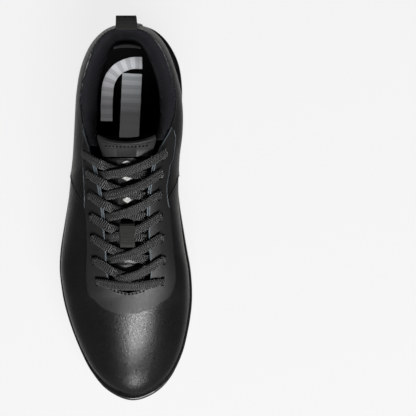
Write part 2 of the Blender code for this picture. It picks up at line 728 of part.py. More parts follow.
def build_keeper():
    start, end = KEEPER_ENDS
    top = max(taut(5, y) for y in np.linspace(start, end, 5)) + 0.2
    rise = taut(5, end) - taut(5, start)
    path = []
    for y, lift in ((start, 0.0), (start, 0.55), (start + 1.2, 0.9), (start + 3.5, 1.0),
                    (end - 3.5, 1.0), (end - 1.2, 0.9), (end, 0.55), (end, 0.0)):
        f = (y - start) / (end - start)
        foot = tongue_crown(y) + 0.5
        roof = top - rise + rise * f + 2.9
        path.append(np.array((4.6, y, foot + (roof - foot) * lift)))
    sections = []
    for i, p in enumerate(path):
        step = unit(path[min(i + 1, len(path) - 1)] - path[max(i - 1, 0)])
        normal = unit(np.cross((1, 0, 0), step))
        half_width = np.array((KEEPER_WIDTH / 2, 0, 0))
        out = normal * KEEPER_WEB
        left, right = p - half_width, p + half_width
        sections.append([left, right, right + out, left + out])
    loft("lace_keeper", sections, "webbing")


# --- Lace ---------------------------------------------------------------------------------------

def turn(frame, angles=(90, 120, 150, 180, 210, 240, 270)):
    """Centre points of the lace through a slot: over the eyestay, down and back underneath."""
    centre, inward, _, normal = frame
    middle = centre + inward * TURN
    return [middle + TURN * (math.cos(math.radians(a)) * inward + math.sin(math.radians(a)) * normal)
            for a in angles]


def strand(start, end, profile, extra):
    """Lace across the throat from a slot's under side to the next slot on the other side."""
    (c0, in0, _, n0), (c1, in1, _, n1) = start, end
    under = c0 + in0 * (TURN + 2.2) - n0 * TURN
    over = c1 + in1 * (TURN + 1.2) + n1 * (TURN + 0.7 + extra)
    points = [under]
    y0, y1 = c0[1], c1[1]
    x0, x1 = c0[0], c1[0]
    for edge, lift in profile:
        y_mid = (y0 + y1) / 2
        (left, _), (right, _) = throat(y_mid)
        x = (left + right) / 2 + edge * (right - left) / 2
        f = (x - x0) / (x1 - x0)
        y = y0 + (y1 - y0) * f - LACE_SAG * 4 * f * (1 - f)
        points.append(np.array((x, y, taut(x, y) + lift + (extra if lift > 2 else 0))))
    return points + [over]


OVER_RIGHT = [(-0.92, -4.0), (-0.55, 0.3), (0, 1.3), (0.55, 2.1), (0.92, 3.9)]
OVER_LEFT = [(0.92, -4.0), (0.55, -1.8), (0, -1.3), (-0.55, -1.4), (-0.92, 3.7)]


def tail(frame, side):
    """The end of the lace: down through its last slot and along the inside of the wall."""
    centre, _, _, normal = frame
    points = turn(frame, (90, 120, 150, 180)) + [centre - normal * 4]
    u = 8.75 if side == "lateral" else AROUND - 8.75
    for distance, depth in ((13, -7.0), (22, -8.4), (31, -8.6), (40, -8.6), (48, -8.6)):
        wall = layer(u, setback(u, distance), depth)
        points.append(np.array((wall[0], centre[1] + (wall[1] - centre[1]) * 0.3, wall[2])))
    return points


def sweep(name, path, width, thick, slot):
    """A flat cord along a path, its width held near the length of the shoe."""
    outline = ((-0.5, 0), (-0.36, -0.5), (0.36, -0.5), (0.5, 0), (0.36, 0.5), (-0.36, 0.5))
    reference = np.array((0, 1, 0.2))
    sections = []
    for i, p in enumerate(path):
        step = unit(path[min(i + 1, len(path) - 1)] - path[max(i - 1, 0)])
        side = unit(reference - step * np.dot(reference, step))
        face = np.cross(step, side)
        sections.append([p + side * a * width + face * b * thick for a, b in outline])
    return loft(name, sections, slot)


def build_lace():
    left = [slot_frame("lateral", r) for r in range(len(ROW_Y))]
    right = [slot_frame("medial", r) for r in range(len(ROW_Y))]
    last = len(ROW_Y) - 1

    bar = []
    for f in np.linspace(0, 1, 7)[1:-1]:
        a, b = left[0][0], right[0][0]
        x, y = a[0] + (b[0] - a[0]) * f, (a[1] + b[1]) / 2 - 6 * f * (1 - f)
        rise = TURN + 1.2 + 2.2 * 4 * f * (1 - f)
        bar.append(np.array((x, y, a[2] + (b[2] - a[2]) * f + rise + 2.4 * math.sin(math.pi * f))))

    def run(odd, even, row, profile_odd, profile_even):
        """From the bottom bar up to the last row on one of the lace's two halves."""
        points, here, there, out, back = [], odd, even, profile_odd, profile_even
        while row < last:
            extra = 1.3 if row + 1 == last else 0
            points += turn(here[row]) + strand(here[row], there[row + 1], out, extra)
            here, there, out, back, row = there, here, back, out, row + 1
        return points, here

    from_left, end_left = run(left, right, 0, OVER_RIGHT, OVER_LEFT)
    from_right, end_right = run(right, left, 0, OVER_LEFT, OVER_RIGHT)
    side_of = {id(left): "lateral", id(right): "medial"}
    path = (from_right + tail(end_right[last], side_of[id(end_right)]))[::-1]
    path += bar[::-1]
    path += from_left + tail(end_left[last], side_of[id(end_left)])
    sweep("lace", path, LACE_WIDTH, LACE_THICK, "lace")
    for name, end, before in (("aglet_a", path[0], path[1]), ("aglet_b", path[-1], path[-2])):
        step = unit(end - before)
        sweep(name, [end + step * 0.4, end + step * 8, end + step * 15], 4.2, 2.2, "plastic")


# --- Heel tab -----------------------------------------------------------------------------------

def build_pull_tab():
    """A folded loop of webbing on the top of the heel, open from side to side."""
    x, y, z = TAB_CENTRE
    along = np.array((0, math.cos(TAB_LEAN), math.sin(TAB_LEAN)))
    up = np.array((0, -math.sin(TAB_LEAN), math.cos(TAB_LEAN)))
    sections = []
    for k in range(14):
        angle = 2 * math.pi * k / 14
        ring = []
        for half_width, grow in ((-0.5, 0), (0.5, 0), (0.5, -TAB_WEB), (-0.5, -TAB_WEB)):
            offset = (TAB_LONG + grow) * math.cos(angle) * along
            offset = offset + (TAB_SHORT + grow) * math.sin(angle) * up
            ring.append(np.array((x + half_width * TAB_WIDTH, y, z)) + offset)
        sections.append(ring)
    loft("pull_tab", sections, "webbing", closed=True, pivot=TAB_AXIS)


clear_scene()
PARTS = collection("golf_shoe")
CUTTERS = collection("cutters")
build_sole()
build_insole()
build_upper()
build_collar()
build_tongue()
build_keeper()
build_lace()
build_pull_tab()
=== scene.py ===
"""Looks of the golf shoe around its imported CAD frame.

The upper is the same skin as in the CAD: ribs that rise from the sole edge to the top edge. Station 0
is the heel seam, 1 to 19 the lateral side, 20 the toe tip, 21 to 39 the medial side. Tables are in
millimetres; objects are made in metres. The toe points to -Y and the medial side is +X.
"""

import math

import bmesh
import bpy
import numpy as np
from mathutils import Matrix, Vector


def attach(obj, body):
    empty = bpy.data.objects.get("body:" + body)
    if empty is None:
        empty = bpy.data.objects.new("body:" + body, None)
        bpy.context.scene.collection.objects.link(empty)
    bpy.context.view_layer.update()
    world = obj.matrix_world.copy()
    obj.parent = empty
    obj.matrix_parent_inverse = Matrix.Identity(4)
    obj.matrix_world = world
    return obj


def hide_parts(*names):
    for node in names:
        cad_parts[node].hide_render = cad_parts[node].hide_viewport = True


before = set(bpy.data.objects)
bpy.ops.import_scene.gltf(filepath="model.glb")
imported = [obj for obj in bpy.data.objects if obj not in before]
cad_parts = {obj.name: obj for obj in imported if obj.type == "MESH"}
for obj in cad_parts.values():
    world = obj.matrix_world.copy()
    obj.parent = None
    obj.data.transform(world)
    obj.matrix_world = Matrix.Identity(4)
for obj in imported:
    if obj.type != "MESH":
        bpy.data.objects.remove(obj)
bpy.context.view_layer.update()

MM = 0.001
TOE, AROUND = 20, 40

# --- Tables of the skin, as in the CAD ----------------------------------------------------------

LATERAL_EDGE = [
    (4, 150.2, 3), (-10, 147.6, 3), (-20, 141.6, 3), (-28.6, 131, 3), (-35, 115, 3.2),
    (-38, 97, 3), (-39, 78, 2.5), (-40, 60, 2), (-41.6, 42, 2), (-43.8, 24, 2),
    (-46.6, 6, 2), (-49.6, -12, 2), (-52.3, -29, 2), (-53.3, -45, 2), (-51.8, -61, 2),
    (-49, -76, 2), (-43.5, -94, 2), (-36, -112.5, 2.2), (-27, -129, 2.8), (-13.5, -143, 3.8),
    (4.8, -150.2, 4.8),
]
MEDIAL_EDGE = [
    (4, 150.2, 3), (18.5, 147.6, 3.4), (28.5, 141.6, 4.4), (37, 131, 5.4), (43, 117, 6),
    (45.3, 99, 4.5), (44.3, 79, 3), (42.4, 60, 2), (41, 42, 2), (41.6, 24, 2),
    (43.4, 6, 2), (46, -11, 2), (49, -29, 2), (52, -46, 2), (53.3, -62, 2),
    (52.9, -77, 2), (50, -96, 2), (45, -115, 2.2), (36, -132.5, 2.8), (22.5, -145, 3.8),
    (4.8, -150.2, 4.8),
]
LATERAL_TOP = [
    (4.3, 140, 91), (-6, 138.6, 89.8), (-14.5, 133.8, 86.5), (-22, 124, 81.5), (-28, 109, 76.5),
    (-31.2, 93, 74), (-31.3, 78, 75), (-28.6, 63, 79), (-24, 50, 88), (-20.2, 37.5, 96.5),
    (-16, 16, 94), (-13.6, -6, 88), (-12, -28, 81.5), (-11, -48, 75.5), (-5.5, -58.6, 73.6),
    (5, -62.2, 73.1), (5, -71, 71.6), (5, -79, 69.9), (5, -86, 68.2), (5, -90.5, 67.0),
    (5, -93, 66.3),
]
MEDIAL_TOP = [
    (4.3, 140, 91), (14.5, 138.6, 89.8), (23.5, 133.8, 86.5), (31, 124, 81.5), (37, 109, 76.5),
    (40.4, 93, 74), (40.6, 78, 75), (37.4, 65, 79), (32, 54, 88), (27.4, 44, 96.5),
    (22.8, 20, 94), (21.2, -3, 88), (21.4, -26, 81.5), (22.4, -48, 75.5), (16, -58.6, 73.6),
    (5, -62.2, 73.1), (5, -71, 71.6), (5, -79, 69.9), (5, -86, 68.2), (5, -90.5, 67.0),
    (5, -93, 66.3),
]
TOP_CORNERS = (8, 9, 15)
FEATHER_Z = [32, 32, 31.7, 31.2, 30.6, 30, 29.2, 28.4, 27.6, 26.8, 26, 25.1, 24.2, 23.4, 22.7,
             22.2, 22.1, 22.6, 24, 26, 27.5]
RISE = [23, 22, 20, 18, 17, 17, 18, 21, 25, 29, 29, 28, 27, 26, 26, 25, 23, 21, 19, 18, 17]
REACH = [4, 4, 4, 4.5, 5, 5, 6, 8, 11, 15, 18, 20, 22, 25, 28, 30, 30, 30, 30, 29, 28]
DROP = [22, 20, 17, 15, 13, 13, 14, 15, 16, 14, 12, 11, 10, 8, 5, 1.3, 2.6, 4.3, 6.1, 7.7, 8.2]
LATERAL_BULGE = [3, 3, 3, 3.5, 4, 4, 4, 4, 4, 4, 3, 2.5, 2, 2, 1.5, 1.5, 1.5, 1.5, 2, 2, 2]
MEDIAL_BULGE = [3, 3, 3, 3, 3, 5, 8, 10, 10, 9, 6, 4, 2.5, 2, 1.5, 1.5, 1.5, 1.5, 2, 2, 2]

# Width of the matte overlay below the top edge: station, distance.
FILM_LATERAL = [(7.15, 0.8), (7.55, 4.4), (8.0, 9), (8.5, 13.4), (8.9, 14.5), (9.6, 17), (10.3, 19),
                (10.8, 17.5), (11.65, 17), (12.85, 17), (13.8, 20), (14.5, 25), (15, 25.5),
                (15.4, 21.5), (15.8, 15.5), (16.2, 9.5), (16.55, 4.5), (16.8, 0.2)]
FILM_MEDIAL = [(6.95, 0.8), (7.15, 6), (7.4, 12), (7.9, 18), (8.55, 23), (9.2, 22), (9.65, 20.5),
               (10.15, 23), (10.65, 26), (11.65, 24), (12.85, 20), (13.8, 23), (14.5, 26), (15, 25.5),
               (15.4, 20), (15.8, 12.6), (16.2, 7.6), (16.55, 3.4), (16.8, 0.2)]

ROW_Y = [-53, -36.5, -19.5, -3.6, 12.5, 28.5, 42.5]
ROW_SETBACK = [9.5, 10.5, 11.5, 11.5, 11.5, 10, 8]
SLOT = (7.4, 3.0, 9.0)
TURN, THROAT_RISE, LACE_SAG = 3.2, 4.0, 5.0
LACE_HALF_WIDTH, LACE_HALF_THICK, LACE_RIB, LACE_STEP = 3.45, 1.12, 1.6, 0.26

TONGUE = [
    (-72, 62.5, 15, 5, 0.008), (-63, 67.0, 17, 5, 0.009), (-54, 70.6, 18.5, 5, 0.011),
    (-44, 74.0, 20, 5, 0.014), (-34, 76.6, 21, 5, 0.0175), (-24, 80.4, 21.5, 5, 0.018),
    (-8, 86.0, 21.5, 5, 0.0185), (8, 90.4, 21.5, 5, 0.0185), (24, 94.0, 21.5, 5.2, 0.0185),
    (36, 96.6, 21.5, 5.2, 0.018), (44, 100.0, 22.5, 5, 0.0165), (48.5, 102.6, 23.6, 5, 0.0150),
    (52, 105.4, 24.2, 5, 0.014), (54.5, 108.6, 23.8, 5, 0.0130),
]
TONGUE_SPLIT = 9.55

PAD = [(4.0, -25), (8.0, -15), (10.8, -8), (11.4, -3.5), (9.6, 0.6), (6.6, 2.6), (3.4, 2.5), (1.0, 1.3),
       (-0.2, -0.3), (0.4, -1.6)]
PAD_FULLNESS = [0.72, 0.78, 0.9, 1, 1, 1, 0.98, 0.85, 0.6, 0.6]
PAD_END = 7.9

TOE_SPRING, HEEL_BEVEL, OUTSOLE, SOLE_TREAD = 13.0, 4.0, 6.0, 2.4
GROOVES = (-128, -112, -96, -80, -64, -48, -32, -16, 36, 52, 68, 84, 100, 116, 132)
FOOTBED_BASE, FOOTBED_HEEL, FOOTBED_FRONT, FOOTBED_DISH = 2.2, 8.0, 5.0, 1.5
FOOTBED_INSET = 9.4
PANEL_ROWS = 56

CAMERA_AT, VIEW_WIDTH, SENSOR = (0.0662, 0.00325, 1.2), 0.34112, 36


# --- The skin -----------------------------------------------------------------------------------

def unit(v):
    v = np.asarray(v, float)
    return v / (np.linalg.norm(v, axis=-1, keepdims=True) + 1e-12)


def eased(x):
    x = np.clip(x, 0, 1)
    return x * x * (3 - 2 * x)


def around(lateral, medial):
    table = np.array(list(lateral) + list(medial)[-2:0:-1], float)
    return table if table.ndim > 1 else table[:, None]


EDGE, TOP = around(LATERAL_EDGE, MEDIAL_EDGE), around(LATERAL_TOP, MEDIAL_TOP)
BULGE = around(LATERAL_BULGE, MEDIAL_BULGE)
CORNERS = set(TOP_CORNERS) | {AROUND - c for c in TOP_CORNERS}


def hermite(p, f, start=None, end=None):
    """The smooth curve from p[1] to p[2] at share f; start and end are its slopes, if not the usual ones."""
    start = (p[2] - p[0]) / 2 if start is None else start
    end = (p[3] - p[1]) / 2 if end is None else end
    return ((2 * f**3 - 3 * f**2 + 1) * p[1] + (f**3 - 2 * f**2 + f) * start
            + (3 * f**2 - 2 * f**3) * p[2] + (f**3 - f**2) * end)


def ring_value(table, u, corners=()):
    """A closed station table at stations u, smooth except at the corners."""
    count = len(table)
    i = np.floor(u).astype(int)
    p = [table[(i + k) % count] for k in (-1, 0, 1, 2)]
    sharp = np.array([k in corners for k in range(count)])
    start = np.where(sharp[i % count][..., None], p[2] - p[1], (p[2] - p[0]) / 2)
    end = np.where(sharp[(i + 1) % count][..., None], p[2] - p[1], (p[3] - p[1]) / 2)
    return hermite(p, (u - i)[..., None], start, end)


def both(table, u):
    """A table that is the same on both sides, at stations u."""
    return ring_value(around(table, table), u)


def outward(u):
    step = ring_value(EDGE, u + 0.05)[..., :2] - ring_value(EDGE, u - 0.05)[..., :2]
    return unit(np.stack([step[..., 1], -step[..., 0], 0 * step[..., 0]], -1))


def feather(u, inset=0.0):
    u = np.asarray(u, float)
    edge = ring_value(EDGE, u)
    foot = np.stack([edge[..., 0], edge[..., 1], both(FEATHER_Z, u)[..., 0]], -1)
    return foot - outward(u) * (edge[..., 2:] + inset)


def ridge_slope(t):
    """How steeply the ridge falls to the toe, so the ribs of both sides leave it in one plane."""
    t = np.clip(t, 15.02, 19.96)
    before, after = ring_value(TOP, t - 0.02, CORNERS), ring_value(TOP, t + 0.02, CORNERS)
    return ((after - before)[..., 2] / (after - before)[..., 1])[..., None]


def bare_skin(u, v):
    foot, top, out = feather(u), ring_value(TOP, u, CORNERS), outward(u)
    away = unit((foot - top) * (1, 1, 0))
    t = np.minimum(u % AROUND, AROUND - u % AROUND)
    share = np.clip((t - 6) / 4, 0, 1)[..., None]
    away = unit(out * (1 - share) + away * share)
    up = np.array((0, 0, 1.0))
    b = foot + out * ring_value(BULGE, u) + up * both(RISE, u)
    reach = both(REACH, u)
    share = eased(t - 14)[..., None]
    drop = both(DROP, u) * (1 - share) - ridge_slope(t) * away[..., 1:2] * reach * share
    c = top + away * reach - up * drop
    v = v[..., None]
    w = 1 - v
    return w**3 * foot + 3 * w * w * v * b + 3 * w * v * v * c + v**3 * top


GRID_U, GRID_V = 20, 120  # skin samples per station and per rib
CELLS_U = AROUND * GRID_U


def skin_grid():
    return bare_skin(*np.meshgrid(np.arange(CELLS_U) / GRID_U, np.linspace(0, 1, GRID_V + 1), indexing="ij"))


def grid_normals(points):
    other = (CELLS_U - np.arange(CELLS_U)) % CELLS_U
    along = np.roll(points, -1, 0) - np.roll(points, 1, 0)
    beyond = np.where((np.abs(np.arange(CELLS_U) / GRID_U - TOE) <= 5)[:, None, None],
                      points[other][:, -2:-1], 2 * points[:, -1:] - points[:, -2:-1])
    before = 2 * points[:, :1] - points[:, 1:2]
    tall = np.concatenate([before, points, beyond], 1)
    return unit(np.cross(along, tall[:, 2:] - tall[:, :-2]))


def relaxed(points, rounds=160):
    """The skin with the faint creases between the ribs of the vamp eased out."""
    first = 12 * GRID_U
    part = points[first:CELLS_U - first + 1].copy()
    t = TOE - np.abs(np.arange(len(part)) / GRID_U + 12 - TOE)
    v = np.linspace(0, 1, GRID_V + 1)
    hold = (1 - eased(t - 15))[:, None] * eased((v - 0.8) / 0.2)
    weight = (eased((t - 13.3) / 2)[:, None] * eased(v / 0.25) * (1 - hold))[1:-1, :, None]
    ridge = ((t >= 15) & (t < TOE - 0.2))[:, None]
    normals = grid_normals(points)[first + 1:CELLS_U - first]
    for _ in range(rounds):
        above = np.where(ridge, part[::-1, -2], 2 * part[:, -1] - part[:, -2])
        tall = np.concatenate([2 * part[:, :1] - part[:, 1:2], part, above[:, None]], 1)
        mean = (part[:-2] + part[2:] + tall[1:-1, :-2] + tall[1:-1, 2:]) / 4
        move = ((mean - part[1:-1]) * normals).sum(-1, keepdims=True)
        part[1:-1] += 0.6 * weight * move * normals
        part[t >= 15, -1] = ((part[:, -1] + part[::-1, -1]) / 2)[t >= 15]
    out = points.copy()
    out[first:CELLS_U - first + 1] = part
    return out


SKIN = relaxed(skin_grid())
NORMALS = grid_normals(SKIN)


def sample(table, u, v):
    x = (np.asarray(u, float) % AROUND) * GRID_U
    y = np.clip(np.asarray(v, float), 0, 1) * GRID_V
    i, j = np.floor(x).astype(int), np.minimum(np.floor(y).astype(int), GRID_V - 1)
    f, g = (x - i)[..., None], (y - j)[..., None]
    a, b = table[i % CELLS_U, j], table[(i + 1) % CELLS_U, j]
    c, d = table[i % CELLS_U, j + 1], table[(i + 1) % CELLS_U, j + 1]
    return (a * (1 - f) + b * f) * (1 - g) + (c * (1 - f) + d * f) * g


def layer(u, v, depth=0.0):
    """Points of the skin at a depth below its outside (negative is into the shoe)."""
    u, v = np.broadcast_arrays(np.asarray(u, float), np.asarray(v, float))
    return sample(SKIN, u, v) + unit(sample(NORMALS, u, v)) * depth


RIB_LENGTH = np.linalg.norm(np.diff(SKIN, axis=1), axis=-1).sum(1)


def setback(u, distance):
    """Rib position at a distance below the top edge."""
    x = (np.asarray(u, float) % AROUND) * GRID_U
    length = np.interp(x, np.arange(CELLS_U + 1), np.append(RIB_LENGTH, RIB_LENGTH[0]))
    return 1 - distance / length


def medial(t):
    return AROUND - np.asarray(t, float)


# --- Mesh helpers -------------------------------------------------------------------------------

def smooth_path(points, per=8):
    """A Catmull-Rom path through points."""
    p = np.asarray(points, float)
    p = np.concatenate([2 * p[:1] - p[1:2], p, 2 * p[-1:] - p[-2:-1]])
    f = np.linspace(0, 1, per, endpoint=False)[:, None]
    return np.concatenate([hermite(p[i - 1:i + 3], f) for i in range(1, len(p) - 2)] + [p[-2:-1]])


def distance_along(points):
    """Distance from the first row, down the rows."""
    step = np.linalg.norm(np.diff(points, axis=0), axis=-1)
    return np.concatenate([0 * step[:1], np.cumsum(step, axis=0)])


def even_path(points, step):
    """The same path at even steps."""
    p = np.asarray(points, float)
    run = distance_along(p)
    count = max(2, int(round(run[-1] / step)))
    at = np.linspace(0, run[-1], count + 1)
    return np.stack([np.interp(at, run, p[:, k]) for k in range(p.shape[1])], -1)


def linked(name, data):
    made = bpy.data.objects.new(name, data)
    bpy.context.scene.collection.objects.link(made)
    return made


def mesh_object(name, points, faces, slot, uv=None, sharp=40):
    """A smooth-shaded object from points in millimetres; uv is one pair per point."""
    mesh = bpy.data.meshes.new(name)
    mesh.from_pydata((np.asarray(points, float) * MM).tolist(), [], faces)
    if uv is not None:
        uv = np.asarray(uv, float)
        corner = np.zeros(len(mesh.loops), int)
        mesh.loops.foreach_get("vertex_index", corner)
        mesh.uv_layers.new(name="run").data.foreach_set("uv", uv[corner].ravel())
    made = linked(name, mesh)
    mesh.materials.append(MATERIAL[slot])
    made["finish"] = slot
    shade(made, sharp)
    return made


def shade(made, sharp=40):
    work = bmesh.new()
    work.from_mesh(made.data)
    for face in work.faces:
        face.smooth = True
    for edge in work.edges:
        edge.smooth = not edge.is_manifold or edge.calc_face_angle(0) < math.radians(sharp)
    work.to_mesh(made.data)
    work.free()


def outward_faces(made):
    work = bmesh.new()
    work.from_mesh(made.data)
    bmesh.ops.remove_doubles(work, verts=work.verts, dist=2e-6)
    bmesh.ops.recalc_face_normals(work, faces=work.faces)
    work.to_mesh(made.data)
    work.free()
    return made


def turn_over(made, wrong):
    """Turns all faces over when wrong(face) adds up to more than nothing."""
    if sum(wrong(face) for face in made.data.polygons) > 0:
        made.data.flip_normals()


def face_up(made):
    turn_over(made, lambda face: -face.normal.z)


def grid_faces(rows, columns, loop_rows=False, loop_columns=False):
    faces = []
    for i in range(rows if loop_rows else rows - 1):
        for j in range(columns if loop_columns else columns - 1):
            k, m = (i + 1) % rows, (j + 1) % columns
            faces.append((i * columns + j, i * columns + m, k * columns + m, k * columns + j))
    return faces


def finished(made, sharp=40):
    """The object with its modifiers made real."""
    graph = bpy.context.evaluated_depsgraph_get()
    mesh = bpy.data.meshes.new_from_object(made.evaluated_get(graph))
    made.modifiers.clear()
    made.data = mesh
    shade(made, sharp)
    return made


def modifier(made, kind, **settings):
    added = made.modifiers.new(kind.lower(), kind)
    for key, value in settings.items():
        setattr(added, key, value)
    return added


def panel(name, u, v, out, thick, slot, round_edge=0.3, cutter=None):
    """A sheet of leather or film on the skin: u and v are grids of the same shape."""
    points = layer(u, v, out)
    run, rise = distance_along(points), distance_along(points.swapaxes(0, 1)).T
    made = outward_faces(mesh_object(name, points.reshape(-1, 3), grid_faces(*u.shape), slot,
                                     uv=np.stack([run, rise], -1).reshape(-1, 2) * MM))
    turn_over(made, lambda face: (Vector((0.004, 0, 0.05)) - face.center).dot(face.normal))
    modifier(made, "SOLIDIFY", thickness=thick * MM, offset=-1, use_even_offset=True)
    if cutter is not None:
        modifier(made, "BOOLEAN", operation="DIFFERENCE", solver="EXACT", object=cutter)
    modifier(made, "BEVEL", width=round_edge * MM, segments=2, limit_method="ANGLE",
             angle_limit=math.radians(50))
    return finished(made)


def closed_pad(name, top, bottom, slot, sharp=50):
    """A closed solid between two grids of the same shape."""
    rows, columns = top.shape[:2]
    count = rows * columns
    points = np.concatenate([top.reshape(-1, 3), bottom.reshape(-1, 3)])
    faces = grid_faces(rows, columns)
    faces += [tuple(count + k for k in face[::-1]) for face in faces]
    number = np.arange(count).reshape(rows, columns)
    sides = (number[:, 0], number[-1, 1:], number[-2::-1, -1], number[0, -2:0:-1])
    index = np.concatenate(sides).tolist()
    faces += [(a, b, b + count, a + count) for a, b in zip(index, index[1:] + index[:1])]
    return outward_faces(mesh_object(name, points, faces, slot, sharp=sharp))


def sweep(name, path, across, outline, slot, twist=None, grow=None):
    """A tube with the given outline (across, up) along a path, its width held near `across`.
    grow is one pair of factors (across, up) for each point of the path."""
    path = np.asarray(path, float)
    step = unit(np.gradient(path, axis=0))
    side = unit(across - step * (step * across).sum(-1, keepdims=True))
    face = np.cross(step, side)
    if twist is not None:
        turned = side * np.cos(twist)[:, None] + face * np.sin(twist)[:, None]
        face = np.cross(step, turned)
        side = turned
    outline = np.asarray(outline, float)
    section = outline[None] * (1.0 if grow is None else np.asarray(grow)[:, None])
    points = path[:, None] + side[:, None] * section[..., :1] + face[:, None] * section[..., 1:]
    rows, columns = points.shape[:2]
    run = distance_along(path)
    faces = grid_faces(rows, columns, loop_columns=True)
    faces += [tuple(range(columns))[::-1], tuple((rows - 1) * columns + k for k in range(columns))]
    uv = np.stack([np.repeat(run[:, None], columns, 1) * MM,
                   np.repeat(outline[None, :, 0], rows, 0) * MM], -1).reshape(-1, 2)
    return outward_faces(mesh_object(name, points.reshape(-1, 3), faces, slot, uv=uv, sharp=50))


def flat_outline(width, thick, corner=0.4, count=5):
    """A rounded rectangle, from corner arcs."""
    points = []
    for cx, cy, start in ((1, 1, 0), (-1, 1, 90), (-1, -1, 180), (1, -1, 270)):
        for k in range(count):
            a = math.radians(start + 90 * k / (count - 1))
            points.append((cx * (width / 2 - corner) + corner * math.cos(a),
                           cy * (thick / 2 - corner) + corner * math.sin(a)))
    return points


def stitches(name, paths, slot="thread", long=2.3, gap=0.9, radius=0.3, sink=0.12):
    """Threads laid along paths of (point, normal) rows, each a small capsule bedded in the surface."""
    points, faces = [], []
    sides, rings = 6, ((0.0, 0.25), (0.12, 0.75), (0.35, 1.0), (0.65, 1.0), (0.88, 0.75), (1.0, 0.25))
    for path, normals in paths:
        run = distance_along(path)
        count = int((run[-1] + gap) // (long + gap))
        slack = (run[-1] + gap - count * (long + gap)) / 2
        for n in range(count):
            a = slack + n * (long + gap)
            ends = [np.array([np.interp(s, run, path[:, k]) for k in range(3)]) for s in (a, a + long)]
            up = unit([np.interp(a + long / 2, run, normals[:, k]) for k in range(3)])
            step = unit(ends[1] - ends[0])
            side = unit(np.cross(up, step))
            base = len(points)
            for f, grow in rings:
                lift = (radius - sink) * (4 * f * (1 - f)) ** 0.5 - sink
                centre = ends[0] + (ends[1] - ends[0]) * f + up * lift
                for k in range(sides):
                    w = 2 * math.pi * k / sides
                    points.append(centre + (side * math.cos(w) + up * math.sin(w)) * radius * grow)
            for r in range(len(rings) - 1):
                for k in range(sides):
                    m = (k + 1) % sides
                    faces.append((base + r * sides + k, base + r * sides + m,
                                  base + (r + 1) * sides + m, base + (r + 1) * sides + k))
            faces.append(tuple(base + k for k in range(sides))[::-1])
            faces.append(tuple(base + (len(rings) - 1) * sides + k for k in range(sides)))
    return mesh_object(name, points, faces, slot, sharp=60)


def skin_path(u, v, lift=0.0, step=0.6):
    """Points and normals along a line on the skin."""
    points = even_path(np.concatenate([layer(u, v, lift), unit(sample(NORMALS, u, v))], 1), step)
    return points[:, :3], points[:, 3:]


# --- Materials ----------------------------------------------------------------------------------

class Graph:
    """Short forms for a material's node tree."""

    def __init__(self, name):
        self.material = bpy.data.materials.new(name)
        self.material.use_nodes = True
        self.tree = self.material.node_tree
        self.shader = self.tree.nodes["Principled BSDF"]

    def node(self, kind, inputs=None, **settings):
        made = self.tree.nodes.new(kind)
        for key, value in settings.items():
            setattr(made, key, value)
        for key, value in (inputs or {}).items():
            self.put(made.inputs[key], value)
        return made

    def put(self, socket, value):
        if isinstance(value, bpy.types.NodeSocket):
            self.tree.links.new(value, socket)
        else:
            socket.default_value = value

    def math(self, operation, a, b=0.0, c=0.0, clamp=False):
        made = self.node("ShaderNodeMath", {0: a, 1: b, 2: c}, operation=operation, use_clamp=clamp)
        return made.outputs[0]

    def place(self, kind="Object"):
        return self.node("ShaderNodeTexCoord").outputs[kind]

    def noise(self, scale, detail=3.0, rough=0.5, where=None):
        made = self.node("ShaderNodeTexNoise", {"Vector": where or self.place(), "Scale": scale,
                                                "Detail": detail, "Roughness": rough})
        return made.outputs["Fac"]

    def cells(self, scale, feature="F1", where=None):
        made = self.node("ShaderNodeTexVoronoi", {"Vector": where or self.place(), "Scale": scale},
                         feature=feature)
        return made.outputs["Distance"]

    def ramp(self, value, low, high, out_low=0.0, out_high=1.0):
        made = self.node("ShaderNodeMapRange", {"Value": value, "From Min": low, "From Max": high,
                                                "To Min": out_low, "To Max": out_high})
        return made.outputs["Result"]

    def mix(self, factor, a, b):
        made = self.node("ShaderNodeMix", data_type="RGBA")
        self.put(made.inputs[0], factor)
        self.put(made.inputs[6], a)
        self.put(made.inputs[7], b)
        return made.outputs[2]

    def bump(self, *heights):
        """Heights as (value, strength, distance), each on top of the last."""
        normal = None
        for value, strength, distance in heights:
            made = self.node("ShaderNodeBump", {"Height": value, "Strength": strength, "Distance": distance})
            if normal is not None:
                self.tree.links.new(normal, made.inputs["Normal"])
            normal = made.outputs["Normal"]
        self.tree.links.new(normal, self.shader.inputs["Normal"])

    def surface(self, colour, noise, smooth, rough):
        """The colour, and a roughness that wanders between two values."""
        self.put(self.shader.inputs["Base Color"], colour)
        self.put(self.shader.inputs["Roughness"], self.ramp(noise, 0.3, 0.7, smooth, rough))

    def split(self, vector):
        return self.node("ShaderNodeSeparateXYZ", {0: vector}).outputs

    def wave(self, value, turn):
        return self.math("SINE", self.math("MULTIPLY", value, turn))

    def set(self, **values):
        for key, value in values.items():
            self.put(self.shader.inputs[key.replace("_", " ").title().replace("Ior", "IOR")], value)
        return self.material


def grey(value, tint=(1, 1, 1)):
    return (value * tint[0], value * tint[1], value * tint[2], 1)


def leather(name, base, rough, grain=1.0, tint=(1, 1, 1.04)):
    g = Graph(name)
    cloud = g.noise(45, 5, 0.6)
    wear = g.mix(g.ramp(cloud, 0.35, 0.7), grey(base * 0.85, tint), grey(base * 1.25, tint))
    g.surface(wear, g.noise(520, 5, 0.65), rough - 0.08, rough + 0.09)
    g.bump((cloud, 0.3 * grain, 0.0014), (g.noise(700, 3, 0.6), 0.2 * grain, 0.0003),
           (g.cells(1250, "DISTANCE_TO_EDGE"), 0.3 * grain, 0.0003),
           (g.noise(1500, 4, 0.65), 0.3 * grain, 0.00022))
    return g.set(specular_ior_level=0.5, coat_weight=0.0, coat_roughness=0.28)


